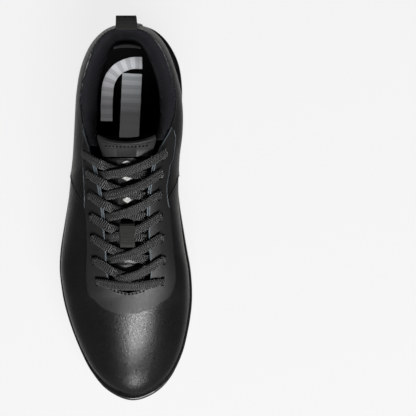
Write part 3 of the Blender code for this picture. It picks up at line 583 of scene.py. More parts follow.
def film(name, base, rough, tint=(1, 1, 1)):
    g = Graph(name)
    cloud = g.noise(50, 3)
    colour = g.mix(g.ramp(cloud, 0.3, 0.7), grey(base * 0.9, tint), grey(base * 1.12, tint))
    g.surface(colour, g.noise(400, 3), rough - 0.04, rough + 0.05)
    g.bump((cloud, 0.15, 0.001), (g.cells(1900), 0.35, 0.00018))
    return g.set(specular_ior_level=0.55)


def knit(name, base, tint, scale=1.0, sheen=0.35, relief=1.0, shade=None, shine=0.25):
    """Fine knitted or woven textile, in object space; with shade set, painted shade darkens it by its depth in
    the map.
    """
    g = Graph(name)
    x, y, z = g.split(g.place())
    turn = 2 * math.pi / (0.0009 * scale)
    across = g.wave(g.math("ADD", x, g.math("MULTIPLY", z, 0.7)), turn)
    along = g.wave(g.math("ADD", y, g.math("MULTIPLY", z, 0.35)), turn * 0.8)
    weave = g.math("MULTIPLY", across, along)
    fuzz = g.noise(3800, 3)
    colour = g.mix(g.ramp(weave, -0.6, 0.8), grey(base * 0.7, tint), grey(base * 1.3, tint))
    # Painted shade: the colour goes to near black where the map's depth is low.
    if shade:
        depth = g.split(g.place("UV"))[1]
        colour = g.mix(g.ramp(depth, *shade), grey(base * 0.06, tint), colour)
    g.surface(colour, fuzz, 0.82, 0.98)
    g.bump((g.noise(60, 3), 0.3, 0.001), (weave, 0.5, 0.00022 * relief), (fuzz, 0.3, 0.0001))
    g.set(specular_ior_level=shine, sheen_weight=sheen, sheen_roughness=0.45,
          sheen_tint=grey(1, (0.86, 0.9, 1)))
    # Painted shade: the sheen and the shine fade out where the map's depth is low.
    if shade:
        g.set(sheen_weight=g.ramp(depth, *shade, 0, sheen), specular_ior_level=g.ramp(depth, *shade, 0.03, 0.3))
    return g.material


def webbing(name, base, tint, pitch=0.0011, cross=0.0009, rough=0.8, sheen=0.2, relief=1.0, depth=0.45,
            shine=0.45):
    """Woven tape: ribs across its run and yarn columns along it, from the run map."""
    g = Graph(name)
    run, side = g.split(g.place("UV"))[:2]
    yarn = g.wave(side, 2 * math.pi / cross)
    slant = g.math("SINE", g.math("ADD", g.math("MULTIPLY", run, 2 * math.pi / pitch),
                                  g.math("MULTIPLY", yarn, 1.3)))
    fuzz = g.noise(4200, 3)
    dark, pale = grey(base * (1 - depth), tint), grey(base * (1 + 0.8 * depth), tint)
    colour = g.mix(g.ramp(slant, -0.8, 0.9), dark, pale)
    g.surface(colour, fuzz, rough - 0.06, rough + 0.1)
    g.bump((g.wave(run, 2 * math.pi / pitch), min(1, 0.3 * relief), 0.0002 * relief),
           (slant, min(1, 0.5 * relief), 0.00025 * relief), (fuzz, 0.25, 0.00008))
    return g.set(specular_ior_level=shine, sheen_weight=sheen, sheen_roughness=0.5)


def rubber(name, base, rough, mould=0.3, coat=0.0):
    g = Graph(name)
    cloud = g.noise(30, 3)
    g.surface(g.mix(cloud, grey(base * 0.8), grey(base * 1.2)), g.noise(180, 3), rough - 0.05, rough + 0.07)
    g.bump((cloud, 0.2, 0.0008), (g.noise(1400, 3), mould, 0.00012))
    return g.set(specular_ior_level=0.5, coat_weight=coat, coat_roughness=0.15)


def foam(name, base, tint=(1, 1, 1)):
    g = Graph(name)
    pores = g.cells(1600)
    colour = g.mix(g.ramp(pores, 0.1, 0.6), grey(base * 0.6, tint), grey(base * 1.3, tint))
    g.surface(colour, g.noise(500), 0.85, 0.98)
    g.bump((pores, 0.6, 0.0003), (g.noise(90, 3), 0.3, 0.0008))
    return g.set(specular_ior_level=0.2)


def transfer(name, low, high, start, end, block):
    """Metallic transfer print, broken into plain blocks, with painted light that makes it brighter at the heel
    end and painted shade towards the toe.
    """
    g = Graph(name)
    # Painted light and shade: the colour runs from low towards the toe to high at the heel end.
    painted_light_fade = g.ramp(g.split(g.place())[1], start, end)
    wave = g.math("FRACT", g.math("MULTIPLY", g.split(g.place("UV"))[0], 1 / block))
    inside = g.math("MULTIPLY", g.math("GREATER_THAN", wave, 0.3), g.math("LESS_THAN", wave, 0.78))
    grain = g.noise(2600, 3)
    colour = g.mix(g.math("MULTIPLY", inside, 0.3), g.mix(painted_light_fade, low, high), grey(0.005))
    g.surface(g.mix(g.ramp(grain, 0.35, 0.65, 0, 0.25), colour, grey(0.02)), grain, 0.45, 0.62)
    g.bump((grain, 0.3, 0.0001), (g.noise(70), 0.2, 0.0008))
    return g.set(metallic=0.1)


MATERIAL = {
    "leather": leather("leather_smooth", 0.0068, 0.33),
    "leather_gloss": leather("leather_tongue", 0.005, 0.31, grain=0.9),
    "leather_band": leather("leather_tongue_top", 0.022, 0.5),
    "film": film("matte_film", 0.0105, 0.5),
    "cut_edge": film("film_cut_edge", 0.1, 0.5, (0.8, 1.0, 1.15)),
    # The collar knit carries painted shade: dark from the crest of the pad inwards, where shade falls.
    "lining": knit("collar_knit", 0.007, (0.93, 0.95, 1.4), scale=1.9, sheen=0.26, relief=3.0,
                   shade=(0.5, 0.74)),
    "inner": knit("inner_textile", 0.006, (1, 1, 1.05), sheen=0.1),
    "foam": foam("open_foam", 0.03),
    "footbed": knit("footbed_cover", 0.002, (1, 1, 1.02), sheen=0.01, shine=0.06),
    "board": foam("fibre_board", 0.3, (1, 0.88, 0.7)),
    "plastic": rubber("moulded_plastic", 0.02, 0.4),
    "webbing": webbing("tape_webbing", 0.0125, (1, 1, 0.86), pitch=0.001, cross=0.0012, sheen=0.05),
    "tab": webbing("tab_webbing", 0.006, (1, 1, 0.9), pitch=0.001, cross=0.0012, sheen=0.05, shine=0.3),
    "strip": webbing("woven_strip", 0.006, (1, 1, 1), pitch=0.0008, cross=0.0008, rough=0.6),
    "lace": webbing("lace_weave", 0.009, (1, 0.98, 1.02), pitch=0.0016, cross=0.0032, rough=0.6,
                    relief=1.8, depth=0.8, shine=0.33),
    "thread": webbing("sewing_thread", 0.016, (1, 1, 1), pitch=0.0005, cross=0.0004, rough=0.5),
    "dark_thread_and_hole_shade": webbing("dark_thread_and_hole_shade", 0.002, (1, 1, 1), pitch=0.0005, cross=0.0004, rough=0.8,
                           sheen=0.0, shine=0.03),
    "white_thread": webbing("white_yarn", 0.62, (1, 1, 0.97), pitch=0.0006, cross=0.0005, rough=0.7),
    "pale_trim": knit("pale_trim", 0.015, (0.98, 1, 1.04), sheen=0.1),
    "outsole": rubber("outsole_rubber", 0.008, 0.48, 0.35),
    "midsole": rubber("midsole_foam", 0.0065, 0.3, 0.2, coat=0.2),
    # The prints are real; the fade from their low to their high colour is painted light and shade.
    "print_band": transfer("band_print_painted_light", (0.075, 0.075, 0.08, 1), (0.44, 0.45, 0.47, 1), 0.085, 0.117, 0.007),
    "print_panel": transfer("panel_print_painted_light", (0.014, 0.014, 0.015, 1), (0.25, 0.265, 0.28, 1), 0.078, 0.113,
                            0.007),
}


def place(made, body="shoe", *nodes):
    """The piece rides a body and stands for CAD nodes, which it hides."""
    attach(made, body)
    if nodes:
        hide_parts(*nodes)
    return made


# --- Sole ---------------------------------------------------------------------------------------

def ground(y):
    toe = TOE_SPRING * np.maximum(0, (-78 - y) / 72) ** 2
    heel = HEEL_BEVEL * np.maximum(0, (y - 122) / 28) ** 2
    return toe + heel


SOLE_U = np.linspace(0, AROUND, 440, endpoint=False)


def sole_ring(inset, height):
    """Points around the sole edge; height(y, feather z) gives z."""
    edge = ring_value(EDGE, SOLE_U)
    points = np.stack([edge[:, 0], edge[:, 1], 0 * edge[:, 0]], -1) - outward(SOLE_U) * inset
    points[:, 2] = height(points[:, 1], feather(SOLE_U)[:, 2])
    return points


def deck_faces(ring, base, flip=False):
    """Faces that close a ring of the sole straight across, heel to toe."""
    count = len(ring)
    faces = []
    for k in range(count // 2):
        a, b, c, d = k, k + 1, (count - k - 1) % count, (count - k) % count
        face = [a, b, c, d] if a != d else [a, b, c]
        if b == c:
            face = [a, b, d]
        faces.append(tuple(base + i for i in (face[::-1] if flip else face)))
    return faces


def sole_solid(name, rings, slot):
    points = np.concatenate(rings)
    count = len(SOLE_U)
    faces = grid_faces(len(rings), count, loop_columns=True)
    faces += deck_faces(rings[0], 0) + deck_faces(rings[-1], (len(rings) - 1) * count, True)
    run = distance_along(rings[0]) * MM
    uv = np.stack([np.tile(run, len(rings)), points[:, 2] * MM], -1)
    return outward_faces(mesh_object(name, points, faces, slot, uv=uv, sharp=30))


def box_mesh(name, items):
    """Separate boxes in one cutter, each (size, centre, axes)."""
    points, faces = [], []
    corners = ((-1, -1), (1, -1), (1, 1), (-1, 1))
    for size, centre, axes in items:
        x, y, z = (np.asarray(axis, float) * side / 2 for axis, side in zip(axes, size))
        base = len(points)
        points += [centre + i * x + j * y + k * z for k in (-1, 1) for i, j in corners]
        faces += [tuple(base + k for k in face) for face in
                  ((0, 1, 2, 3), (4, 7, 6, 5), (0, 4, 5, 1), (1, 5, 6, 2), (2, 6, 7, 3), (3, 7, 4, 0))]
    return outward_faces(mesh_object(name, points, faces, "outsole"))


def grooved_outsole():
    profile = [(4.2, 0), (2.2, 0.3), (1.3, 1.6), (0.7, 3.2), (0.15, OUTSOLE - 0.8), (0.35, OUTSOLE - 0.1),
               (0.8, OUTSOLE)]
    rings = [sole_ring(inset, lambda y, f, up=up: ground(y) + up) for inset, up in profile]
    outsole = sole_solid("outsole_rubber", rings, "outsole")
    items = []
    for y in GROOVES:
        low = float(ground(np.array(y)))
        slope = float(ground(np.array(y + 1)) - ground(np.array(y - 1))) / 2
        along = unit((0, 1, slope))
        axes = ((1, 0, 0), along, unit(np.cross((1, 0, 0), along)))
        items.append(((120, 4.5, 2 * SOLE_TREAD), (0, y, low), axes))
    grooves = box_mesh("groove_cutter", items)
    modifier(outsole, "BOOLEAN", operation="DIFFERENCE", solver="EXACT", object=grooves)
    finished(outsole, 30)
    bpy.data.objects.remove(grooves)
    place(outsole, "shoe", "outsole")


def midsole_wall():
    def wall(share):
        return lambda y, f: (ground(y) + OUTSOLE + 0.1) * (1 - share) + (f - 0.3) * share

    profile = [(0.9, 0.0), (0.3, 0.015), (0.1, 0.05), (0.15, 0.3), (0.3, 0.5), (0.35, 0.62), (0.15, 0.68),
               (0.0, 0.73), (-0.05, 0.8), (0.0, 0.9), (0.3, 0.97), (0.9, 1.0), (1.6, 0.99), (2.4, 0.96)]
    place(sole_solid("midsole_wall", [sole_ring(i, wall(s)) for i, s in profile], "midsole"), "shoe", "midsole")


def toe_bumper():
    u = np.linspace(17.7, 22.3, 90)
    full = np.sin(np.pi * np.linspace(0.02, 0.98, len(u))) ** 0.6
    edge, out = ring_value(EDGE, u), outward(u)
    base = np.stack([edge[:, 0], edge[:, 1], 0 * u], -1)
    low, high = ground(base[:, 1]) + OUTSOLE + 0.8, feather(u)[:, 2] - 2.0
    rings = []
    for offset, share in ((-0.3, 0), (0.5, 0.02), (1.0, 0.12), (1.15, 0.4), (1.1, 0.7), (0.8, 0.9), (0.3, 1),
                          (-0.3, 1)):
        ring = base + out * (offset * full)[:, None]
        ring[:, 2] = low + (high - low) * (0.5 + (share - 0.5) * full)
        rings.append(ring)
    points = np.stack(rings, 1)
    faces = grid_faces(*points.shape[:2], loop_columns=True)
    columns = points.shape[1]
    faces += [tuple(range(columns)), tuple((len(u) - 1) * columns + k for k in range(columns))]
    bumper = outward_faces(mesh_object("toe_bumper_rubber", points.reshape(-1, 3), faces, "outsole", sharp=35))
    place(bumper, "shoe", "toe_bumper")


# --- Footbed ------------------------------------------------------------------------------------

def footbed_thickness(y):
    return np.interp(y, (-60, 20), (FOOTBED_FRONT, FOOTBED_HEEL))


FOOTBED_T = np.linspace(0.02, 19.98, 260)


def footbed_surface(across=41):
    """The upper face of the footbed with its heel cup, as a grid heel to toe and left to right."""
    left, right = feather(FOOTBED_T, FOOTBED_INSET), feather(medial(FOOTBED_T), FOOTBED_INSET)
    share = np.linspace(0, 1, across)[None, :, None]
    points = left[:, None] * (1 - share) + right[:, None] * share
    side = 2 * share[..., 0] - 1
    y = points[..., 1]
    cup = np.clip((y - 60) / 70, 0, 1) ** 1.5
    reach = np.minimum(1, np.maximum(np.abs(side) ** 3, np.clip((y - 118) / 20, 0, 1) ** 1.6))
    points[..., 2] += FOOTBED_BASE + footbed_thickness(y) - FOOTBED_DISH * (1 - side * side) + 3.2 * cup * reach
    return points


def footbed_height(grid, xy):
    """Height of the footbed at points, from the four nearest samples."""
    out = []
    for p in xy:
        d = np.hypot(grid[:, 0] - p[0], grid[:, 1] - p[1])
        near = np.argpartition(d, 4)[:4]
        w = 1 / (d[near] + 0.05)
        out.append((grid[near, 2] * w).sum() / w.sum())
    return np.array(out)


def footbed_print(name, line, width, node, grid):
    """A strip of film on the footbed along a line."""
    path = even_path(smooth_path(line), 1.0)
    step = unit(np.gradient(path, axis=0))
    side = np.stack([step[:, 1], -step[:, 0]], -1)
    share = np.linspace(-0.5, 0.5, 11)
    flat = path[:, None] + side[:, None] * share[None, :, None] * width
    z = footbed_height(grid, flat.reshape(-1, 2)).reshape(flat.shape[:2]) + 0.22
    points = np.concatenate([flat, z[..., None]], -1)
    run = distance_along(path) * MM
    uv = np.stack([np.repeat(run[:, None], 11, 1), np.repeat(share[None] * width * MM, len(path), 0)], -1)
    made = mesh_object(name, points.reshape(-1, 3), grid_faces(len(path), 11), name, uv=uv.reshape(-1, 2))
    face_up(made)
    modifier(made, "SOLIDIFY", thickness=0.2 * MM, offset=-1)
    place(finished(made), "footbed", node)


def heel_cup_trim():
    a = np.linspace(-1, 1, 41)
    x = 2.6 + 10.5 * a
    outer, inner = 131.9 - 2.4 * a * a, 129.6 - 1.0 * a * a
    points = []
    for f in np.linspace(0, 1, 7):
        y = inner + (outer - inner) * f
        points.append(np.stack([x, y, 47.0 + 1.6 * f + 0.5 * np.sin(np.pi * f) * (1 - a * a)], -1))
    points = np.stack(points, 1)
    crescent = mesh_object("heel_cup_trim", points.reshape(-1, 3), grid_faces(41, 7), "pale_trim")
    face_up(crescent)
    modifier(crescent, "SOLIDIFY", thickness=1.0 * MM, offset=-1)
    place(finished(crescent), "footbed")


def build_footbed():
    top = footbed_surface()
    under = top.copy()
    under[..., 2] = feather(FOOTBED_T)[:, None, 2] + FOOTBED_BASE
    bed = closed_pad("footbed_pad", top, under, "footbed")
    modifier(bed, "BEVEL", width=0.8 * MM, segments=2, limit_method="ANGLE", angle_limit=math.radians(50))
    place(finished(bed, 50), "footbed", "footbed")
    grid = top.reshape(-1, 3)
    band = [(14, 118.2), (5, 117.9), (-3.6, 114.5), (-9.3, 108.8), (-12.6, 101.8), (-13.8, 92.6),
            (-14.2, 82.4), (-14.3, 72.2)]
    footbed_print("print_band", band, 9.3, "footbed_print_band", grid)
    panel_line = [(6.1, 109.8), (5.4, 97), (4.8, 84), (4.1, 71), (3.4, 58), (2.8, 46)]
    footbed_print("print_panel", panel_line, 15.6, "footbed_print_panel", grid)
    heel_cup_trim()


# --- Upper --------------------------------------------------------------------------------------

def seam_t(distance):
    """Station of the side seam at a distance below the top edge: it slants back towards the sole."""
    return np.interp(distance, (18, 24, 35, 50, 70), (10.3, 10.1, 9.6, 8.95, 8.5))


def film_width(t, table):
    return np.interp(t, *np.array(table).T)


def seam_grid(tops, backs, shares, seam_top, flip):
    """Stations and rib positions of a panel with one edge on the slanting side seam: shares of 1 there."""
    v = np.linspace(0, 1, PANEL_ROWS) * setback(tops, backs)[:, None]
    t = tops[:, None] + 0 * v
    for _ in range(3):
        length = np.interp(t * GRID_U, np.arange(CELLS_U), RIB_LENGTH)
        t = tops[:, None] - shares[:, None] * (seam_top - seam_t((1 - v) * length))
    return (medial(t) if flip else t), v


def upper_panels():
    a = np.concatenate([np.linspace(0, 5.5, 90)[:-1], np.linspace(5.5, 9.9, 90)])
    tops = 10.1 + a
    backs = np.interp(tops, (10.1, 14.6, 15.0, 15.4, 20), (14.6, 14.6, 12.0, 0, 0))
    shares = np.maximum(0, 1 - a / 4)
    (u1, v1), (u2, v2) = (seam_grid(tops, backs, shares, 10.1, flip) for flip in (False, True))
    u, v = np.concatenate([u1, u2[::-1]]), np.concatenate([v1, v2[::-1]])
    vamp = panel("vamp_leather", u, v, 0.0, 1.4, "leather")
    place(vamp, "shoe", "vamp")

    a = np.linspace(0, 1, 150)
    backs = np.interp(10.3 * a, (0, 8.0, 8.3, 10.3), (0, 0, 14.6, 14.6))
    for name, node, flip in (("quarter_outer", "quarter_lateral", False),
                             ("quarter_inner", "quarter_medial", True)):
        place(panel(name, *seam_grid(10.3 * a, backs, a**3, 10.3, flip), 0.28, 1.5, "leather"), "shoe", node)

    u, v = np.meshgrid(np.linspace(-0.75, 0.75, 30), np.linspace(0, 0.97, 60), indexing="ij")
    place(panel("backstay_leather", u, v, 1.3, 1.0, "leather", 0.35), "shoe", "backstay")


def slot_frame(side, row):
    """Centre of a lace slot on the skin, direction to the throat, along it, and out of the skin."""
    low, high = 7.6, 14.6
    distance, y = ROW_SETBACK[row], ROW_Y[row]

    def at(t):
        u = t if side == "lateral" else AROUND - t
        return np.array([u]), setback(np.array([u]), distance)

    for _ in range(30):
        middle = (low + high) / 2
        low, high = (middle, high) if layer(*at(middle))[0][1] > y else (low, middle)
    u, v = at((low + high) / 2)
    centre, normal = layer(u, v)[0], unit(sample(NORMALS, u, v))[0]
    inward = unit(layer(u, v + 0.03)[0] - layer(u, v - 0.03)[0])
    along = unit(np.cross(normal, inward))
    return centre, inward, along if along[1] > 0 else -along, normal


def build_film():
    """The matte overlay around the throat, cut through at the lace slots."""
    items = []
    for side in ("lateral", "medial"):
        for row in range(len(ROW_Y)):
            centre, inward, along, normal = slot_frame(side, row)
            items.append((SLOT, centre, (along, inward, normal)))
    cutter = box_mesh("slot_cutter", items)
    t1 = np.concatenate([np.linspace(7.15, 15.0, 170)[:-1], np.linspace(15.0, 16.8, 46)])
    t2 = np.concatenate([np.linspace(6.95, 15.0, 170)[:-1], np.linspace(15.0, 16.8, 46)])
    b = np.linspace(0, 1, 26)
    u = np.concatenate([np.repeat(t1[:, None], 26, 1), np.repeat(medial(t2)[::-1, None], 26, 1)])
    w = np.concatenate([film_width(t1, FILM_LATERAL), film_width(t2, FILM_MEDIAL)[::-1]])
    v = setback(u, w[:, None] * (1 - b)[None, :])
    film_piece = panel("eyestay_film", u, v, 1.25, 1.0, "film", 0.25, cutter=cutter)
    bpy.data.objects.remove(cutter)
    place(film_piece, "shoe", "eyestay")

    # The pale cut edge of the film along the throat, and the same edge seen under the lace.
    for name, first, last, depth, width, flip in (
            ("cut_edge_outer", 7.0, 14.2, 1.0, 1.1, False),
            ("cut_edge_inner", 7.0, 14.0, 1.0, 1.1, True),
            ("under_edge_outer", 9.1, 11.1, -0.5, 2.0, False),
            ("under_edge_inner", 9.1, 11.1, -0.5, 2.0, True)):
        ts = np.linspace(first, last, 400)
        us = medial(ts) if flip else ts
        vs = setback(us, 0.2)
        inward = unit(layer(us, 1.0) - layer(us, 0.97))
        points = layer(us, vs, depth) + inward * (width / 2 - 0.3)
        path = even_path(np.concatenate([points, unit(sample(NORMALS, us, vs))], 1), 0.5)[:, :3]
        place(sweep(name, path, inward.mean(0) + 0 * path, flat_outline(width, 0.8, 0.3, 4), "cut_edge"))

    # The outer rim of the film at the collar end.
    for name, table, first, flip in (("film_rim_outer", FILM_LATERAL, 7.3, False),
                                     ("film_rim_inner", FILM_MEDIAL, 7.1, True)):
        ts = np.linspace(first, 10.4, 240)
        us = medial(ts) if flip else ts
        path, normals = skin_path(us, setback(us, film_width(ts, table) - 0.1), 1.05, 0.5)
        place(sweep(name, path, normals, flat_outline(0.75, 0.6, 0.25, 4), "cut_edge"))


def build_upper_details():
    # A stitch row round the front of the throat.
    ts = np.linspace(13.6, 15.0, 60)
    us = np.concatenate([ts, medial(ts)[::-1]])
    front = [skin_path(us, setback(us, 2.3), 1.3)]
    place(stitches("throat_stitches", front, "dark_thread_and_hole_shade", 1.9, 1.0, 0.5, 0.0))
    # Side seams: a raised bead and a row of stitches behind it.
    rows = []
    s = np.linspace(17, 84, 120)
    angles = np.linspace(0, 2 * math.pi, 10, endpoint=False)
    outline = [(0.42 * math.cos(a), 0.34 * math.sin(a)) for a in angles]
    for name, flip in (("seam_bead_outer", False), ("seam_bead_inner", True)):
        t = seam_t(s)
        u, behind = (medial(t), medial(t - 0.14)) if flip else (t, t - 0.14)
        v = setback(u, s)
        keep = v > 0.02
        path, normals = skin_path(u[keep], v[keep], 0.35)
        place(sweep(name, path, normals, outline, "leather"))
        rows.append(skin_path(behind[keep], v[keep], 0.32))
    place(stitches("seam_stitches", rows, "thread", 2.2, 0.9, 0.26))
    # The top line of the collar and the edges of the backstay.
    ts = np.linspace(-7.4, 7.4, 300)
    rows = [skin_path(ts, setback(ts, 2.0), 0.3)]
    rows += [skin_path(np.full(80, edge), np.linspace(0.03, 0.95, 80), 1.3) for edge in (-0.66, 0.66)]
    place(stitches("collar_stitches", rows, "thread", 2.2, 0.9, 0.24))


# --- Collar -------------------------------------------------------------------------------------

def pad_section(u):
    """Profile of the padded collar at station u, foot side and up over the top edge."""
    uu = np.array([u], float)
    top, inward = ring_value(TOP, uu, CORNERS)[0], -outward(uu)[0]
    full = float(np.interp(abs(u), range(len(PAD_FULLNESS)), PAD_FULLNESS))
    points = []
    for a, b in PAD:
        points.append(top + inward * (0.2 + a * full) + np.array((0, 0, b * full if b > 0 else b)))
    low_v = np.array((0.04, 0.4, 0.75)) * float(setback(u, 24))
    low = layer(np.full(3, u), low_v, -3.9)
    return np.array(list(low) + points)


def puffed(made, pinned, most=1.3):
    """The fabric of a pad swollen by a short cloth simulation; pinned vertices stay, none moves beyond most."""
    rest = np.array([v.co for v in made.data.vertices])
    made.vertex_groups.new(name="sewn").add([int(k) for k in pinned], 1.0, "REPLACE")
    cloth = modifier(made, "CLOTH")
    fabric = cloth.settings
    fabric.quality, fabric.mass, fabric.bending_stiffness = 6, 0.0004, 0.02
    fabric.tension_stiffness = fabric.compression_stiffness = 8
    fabric.shrink_min = fabric.shrink_max = -0.02
    fabric.use_pressure, fabric.uniform_pressure_force = True, 4
    fabric.vertex_group_mass = "sewn"
    fabric.effector_weights.gravity = 0
    cloth.collision_settings.use_collision = False
    cloth.point_cache.frame_start, cloth.point_cache.frame_end = 1, 20
    for frame_number in range(1, 21):
        bpy.context.scene.frame_set(frame_number)
    graph = bpy.context.evaluated_depsgraph_get()
    swollen = made.evaluated_get(graph).to_mesh()
    moved = np.array([v.co for v in swollen.vertices]) - rest
    made.modifiers.clear()
    bpy.context.scene.frame_set(1)
    reach = np.linalg.norm(moved, axis=1, keepdims=True)
    print(f"{made.name}: simulated move {reach.max() / MM:.2f} mm at most, {reach.mean() / MM:.2f} mm on mean")
    moved *= np.minimum(1, most * MM / np.maximum(reach, 1e-9))
    made.data.vertices.foreach_set("co", (rest + moved).ravel())
    made.data.update()
    return made


def build_collar():
    stations = np.linspace(-PAD_END, PAD_END, 190)
    points = np.array([smooth_path(pad_section(u), 5) for u in stations])
    rows, columns = points.shape[:2]
    across = np.sin(np.linspace(0, 3.1, columns)) ** 2
    points[..., 2] += 0.25 * np.sin(stations * 5.1)[:, None] * across[None]
    # The map's second value runs across the pad, from the deep inside to the outer edge; the lining's painted
    # shade follows it.
    uv = np.stack(np.meshgrid(stations * 0.016, np.linspace(0, 1, columns), indexing="ij"), -1).reshape(-1, 2)
    made = outward_faces(mesh_object("collar_pad", points.reshape(-1, 3), grid_faces(rows, columns),
                                     "lining", uv=uv))
    turn_over(made, lambda face: (face.center - Vector((0.004, 0.08, 0.06))).dot(face.normal))
    index = np.arange(rows * columns).reshape(rows, columns)
    held = (index[:3], index[-3:], index[:, :12], index[:, -6:])
    puffed(made, np.unique(np.concatenate([part.ravel() for part in held])))
    modifier(made, "SUBSURF", levels=1, render_levels=1)
    modifier(made, "SOLIDIFY", thickness=0.9 * MM, offset=-1)
    place(finished(made), "shoe", "collar_lining", "collar_foam")


# --- Tongue -------------------------------------------------------------------------------------

TONGUE_TABLE = np.array(TONGUE, float)


def tongue_bare(row, side):
    row = np.clip(row, 0, len(TONGUE) - 1.0001)
    i = np.floor(row).astype(int)
    p = [TONGUE_TABLE[np.clip(i + k, 0, len(TONGUE) - 1)] for k in (-1, 0, 1, 2)]
    y, z, wide, x, bend = np.moveaxis(hermite(p, (row - i)[..., None]), -1, 0)
    return np.stack([x + side * wide, y + 0 * side, z - bend * (side * wide) ** 2], -1)


def tongue_point(row, side, depth):
    row, side = np.broadcast_arrays(np.asarray(row, float), np.asarray(side, float))
    r = np.clip(row, 0.06, len(TONGUE) - 1.06)
    normal = unit(np.cross(tongue_bare(r, side + 0.02) - tongue_bare(r, side - 0.02),
                           tongue_bare(r + 0.05, side) - tongue_bare(r - 0.05, side)))
    return tongue_bare(row, side) + normal * np.asarray(depth, float)[..., None]


def build_tongue():
    side = np.linspace(-1, 1, 61)[None, :]
    rows = np.linspace(0.0, TONGUE_SPLIT - 0.05, 160)[:, None]
    face = tongue_point(rows, side, 0.0)
    face[..., 2] += 0.25 * np.clip(1 - np.abs(side) ** 6, 0, 1) * np.sin(rows * 6.2) ** 2
    under = tongue_point(rows, side * 0.985, -1.3)
    place(closed_pad("tongue_leather_face", face, under, "leather_gloss"), "shoe", "tongue_leather")
    swell = 0.6 + 0.4 * np.clip(1 - side**4, 0, 1) ** 0.5
    # The pad has no map, so the lining's painted shade leaves it at its darkest.
    pad = closed_pad("tongue_pad", tongue_point(rows[17:], side * 0.96, -1.4),
                     tongue_point(rows[17:], side * 0.96, -1.4 - 6.0 * swell), "lining")
    place(pad, "shoe", "tongue_foam", "tongue_lining")


def top_lean(side, share):
    """How far back the free top of the tongue leans: its ears reach further than its middle."""
    return (side**2 - 4.4 * (1 - side**2)) * share**2


def build_tongue_top():
    """A full, rounded roll in two halves."""
    side = np.linspace(-1, 1, 61)[None, :]
    rows = np.linspace(TONGUE_SPLIT + 0.14, len(TONGUE) - 1.02, 60)[:, None]
    share = (rows - rows[0]) / (rows[-1] - rows[0])
    lean = top_lean(side, share)
    back = np.stack([0 * lean, lean, 0 * lean], -1)
    full = np.clip(1 - side**8, 0.0, 1) ** 0.5 * np.sqrt(np.clip(1 - share**7, 0, 1))
    taper = side * np.interp(rows, (9.6, 10.5, 11.5, 13), (0.92, 0.92, 0.94, 0.96))
    top = tongue_point(rows, taper, 0.0) + back
    inner = tongue_point(rows, taper * 0.99, -3.6) + back
    lower = tongue_point(rows, taper * 0.99, -7.9) + back
    outer_half = inner + (top - inner) * (0.35 + 0.65 * full)[..., None]
    lower_half = inner + (lower - inner) * (0.15 + 0.85 * full)[..., None]
    face = closed_pad("tongue_top_face", outer_half, inner, "leather_band", 60)
    place(face, "tongue_top", "tongue_top_leather", "tongue_top_foam")
    # The back of the roll has no map, so the lining's painted shade leaves it at its darkest.
    under = closed_pad("tongue_top_back", inner, lower_half, "lining", 60)
    place(under, "tongue_top", "tongue_top_lining")


def top_line(row, side, lift):
    """Points on the leaning face of the tongue's top."""
    points = tongue_point(row, side, lift)
    points[..., 1] += top_lean(side, (row - 9.6) / 3.4)
    return points


def build_tongue_top_details():
    # The perforations are dark discs sunk a little in the middle: painted shade of the holes.
    points, faces = [], []
    row, lift, count = 11.6, 0.12, 12
    for s in np.linspace(-0.64, 0.64, 12):
        centre, flat = top_line(row, s, lift), tongue_point(row, s, lift)
        x = unit(tongue_point(row, s + 0.01, lift) - flat)
        y = unit(tongue_point(row + 0.05, s, lift) - flat)
        base = len(points)
        points.append(centre - unit(np.cross(x, y)) * 0.1)
        for k in range(count):
            w = 2 * math.pi * k / count
            points.append(centre + (x * math.cos(w) + y * math.sin(w)) * 0.75)
        faces += [(base, base + 1 + k, base + 1 + (k + 1) % count) for k in range(count)]
    place(mesh_object("perforation_shade_discs", points, faces, "dark_thread_and_hole_shade"), "tongue_top")

    seams = []
    for row, reach in ((10.9, 0.74), (12.35, 0.8)):
        s = np.linspace(-reach, reach, 60)
        seams.append((top_line(row, s, 0.1), unit(tongue_point(row, s, 1.0) - tongue_point(row, s, 0.0))))
    place(stitches("tongue_top_stitches", seams, "thread", 1.8, 0.8, 0.3), "tongue_top")


def build_strip():
    """The woven strip down the middle of the tongue, and plain yarn lozenges on it."""
    across = np.linspace(-0.32, 0.32, 15)[None, :]
    for name, low, high, body, nodes in (
            ("tongue_strip_tape", 6.8, TONGUE_SPLIT - 0.1, "shoe", ("tongue_strip",)),
            ("tongue_strip_end", TONGUE_SPLIT + 0.16, 11.2, "tongue_top", ())):
        rows = np.linspace(low, high, 60)[:, None]
        tape = closed_pad(name, tongue_point(rows, across, 0.95), tongue_point(rows, across, 0.2), "strip")
        uv = tape.data.uv_layers.new(name="run")
        for loop, data in zip(tape.data.loops, uv.data):
            co = tape.data.vertices[loop.vertex_index].co
            data.uv = (co.y, co.x)
        place(tape, body, *nodes)
    pieces = []
    for centre_row in (7.1, 7.62, 8.14, 8.66, 9.18):
        for k in range(-6, 7):
            reach = 0.2 * (1 - abs(k) / 7)
            r = centre_row + k * 0.022
            path = tongue_point(np.full(8, r), np.linspace(-reach, reach, 8), 1.0)
            normals = np.tile(unit(tongue_point(r, 0, 2.0) - tongue_point(r, 0, 1.0)), (8, 1))
            long = 2 * reach * 21.5 * 0.96
            pieces.append(stitches(f"mark_{len(pieces)}", [(path, normals)], "white_thread", long, 0.1, 0.26))
    place(joined("strip_marks", pieces))


def joined(name, pieces):
    """Several meshes as one object."""
    work = bmesh.new()
    for piece in pieces:
        work.from_mesh(piece.data)
    mesh = bpy.data.meshes.new(name)
    work.to_mesh(mesh)
    work.free()
    made = linked(name, mesh)
    mesh.materials.append(pieces[0].data.materials[0])
    made["finish"] = pieces[0]["finish"]
    for piece in pieces:
        bpy.data.objects.remove(piece)
    shade(made, 60)
    return made


# --- Lace and webbing ---------------------------------------------------------------------------

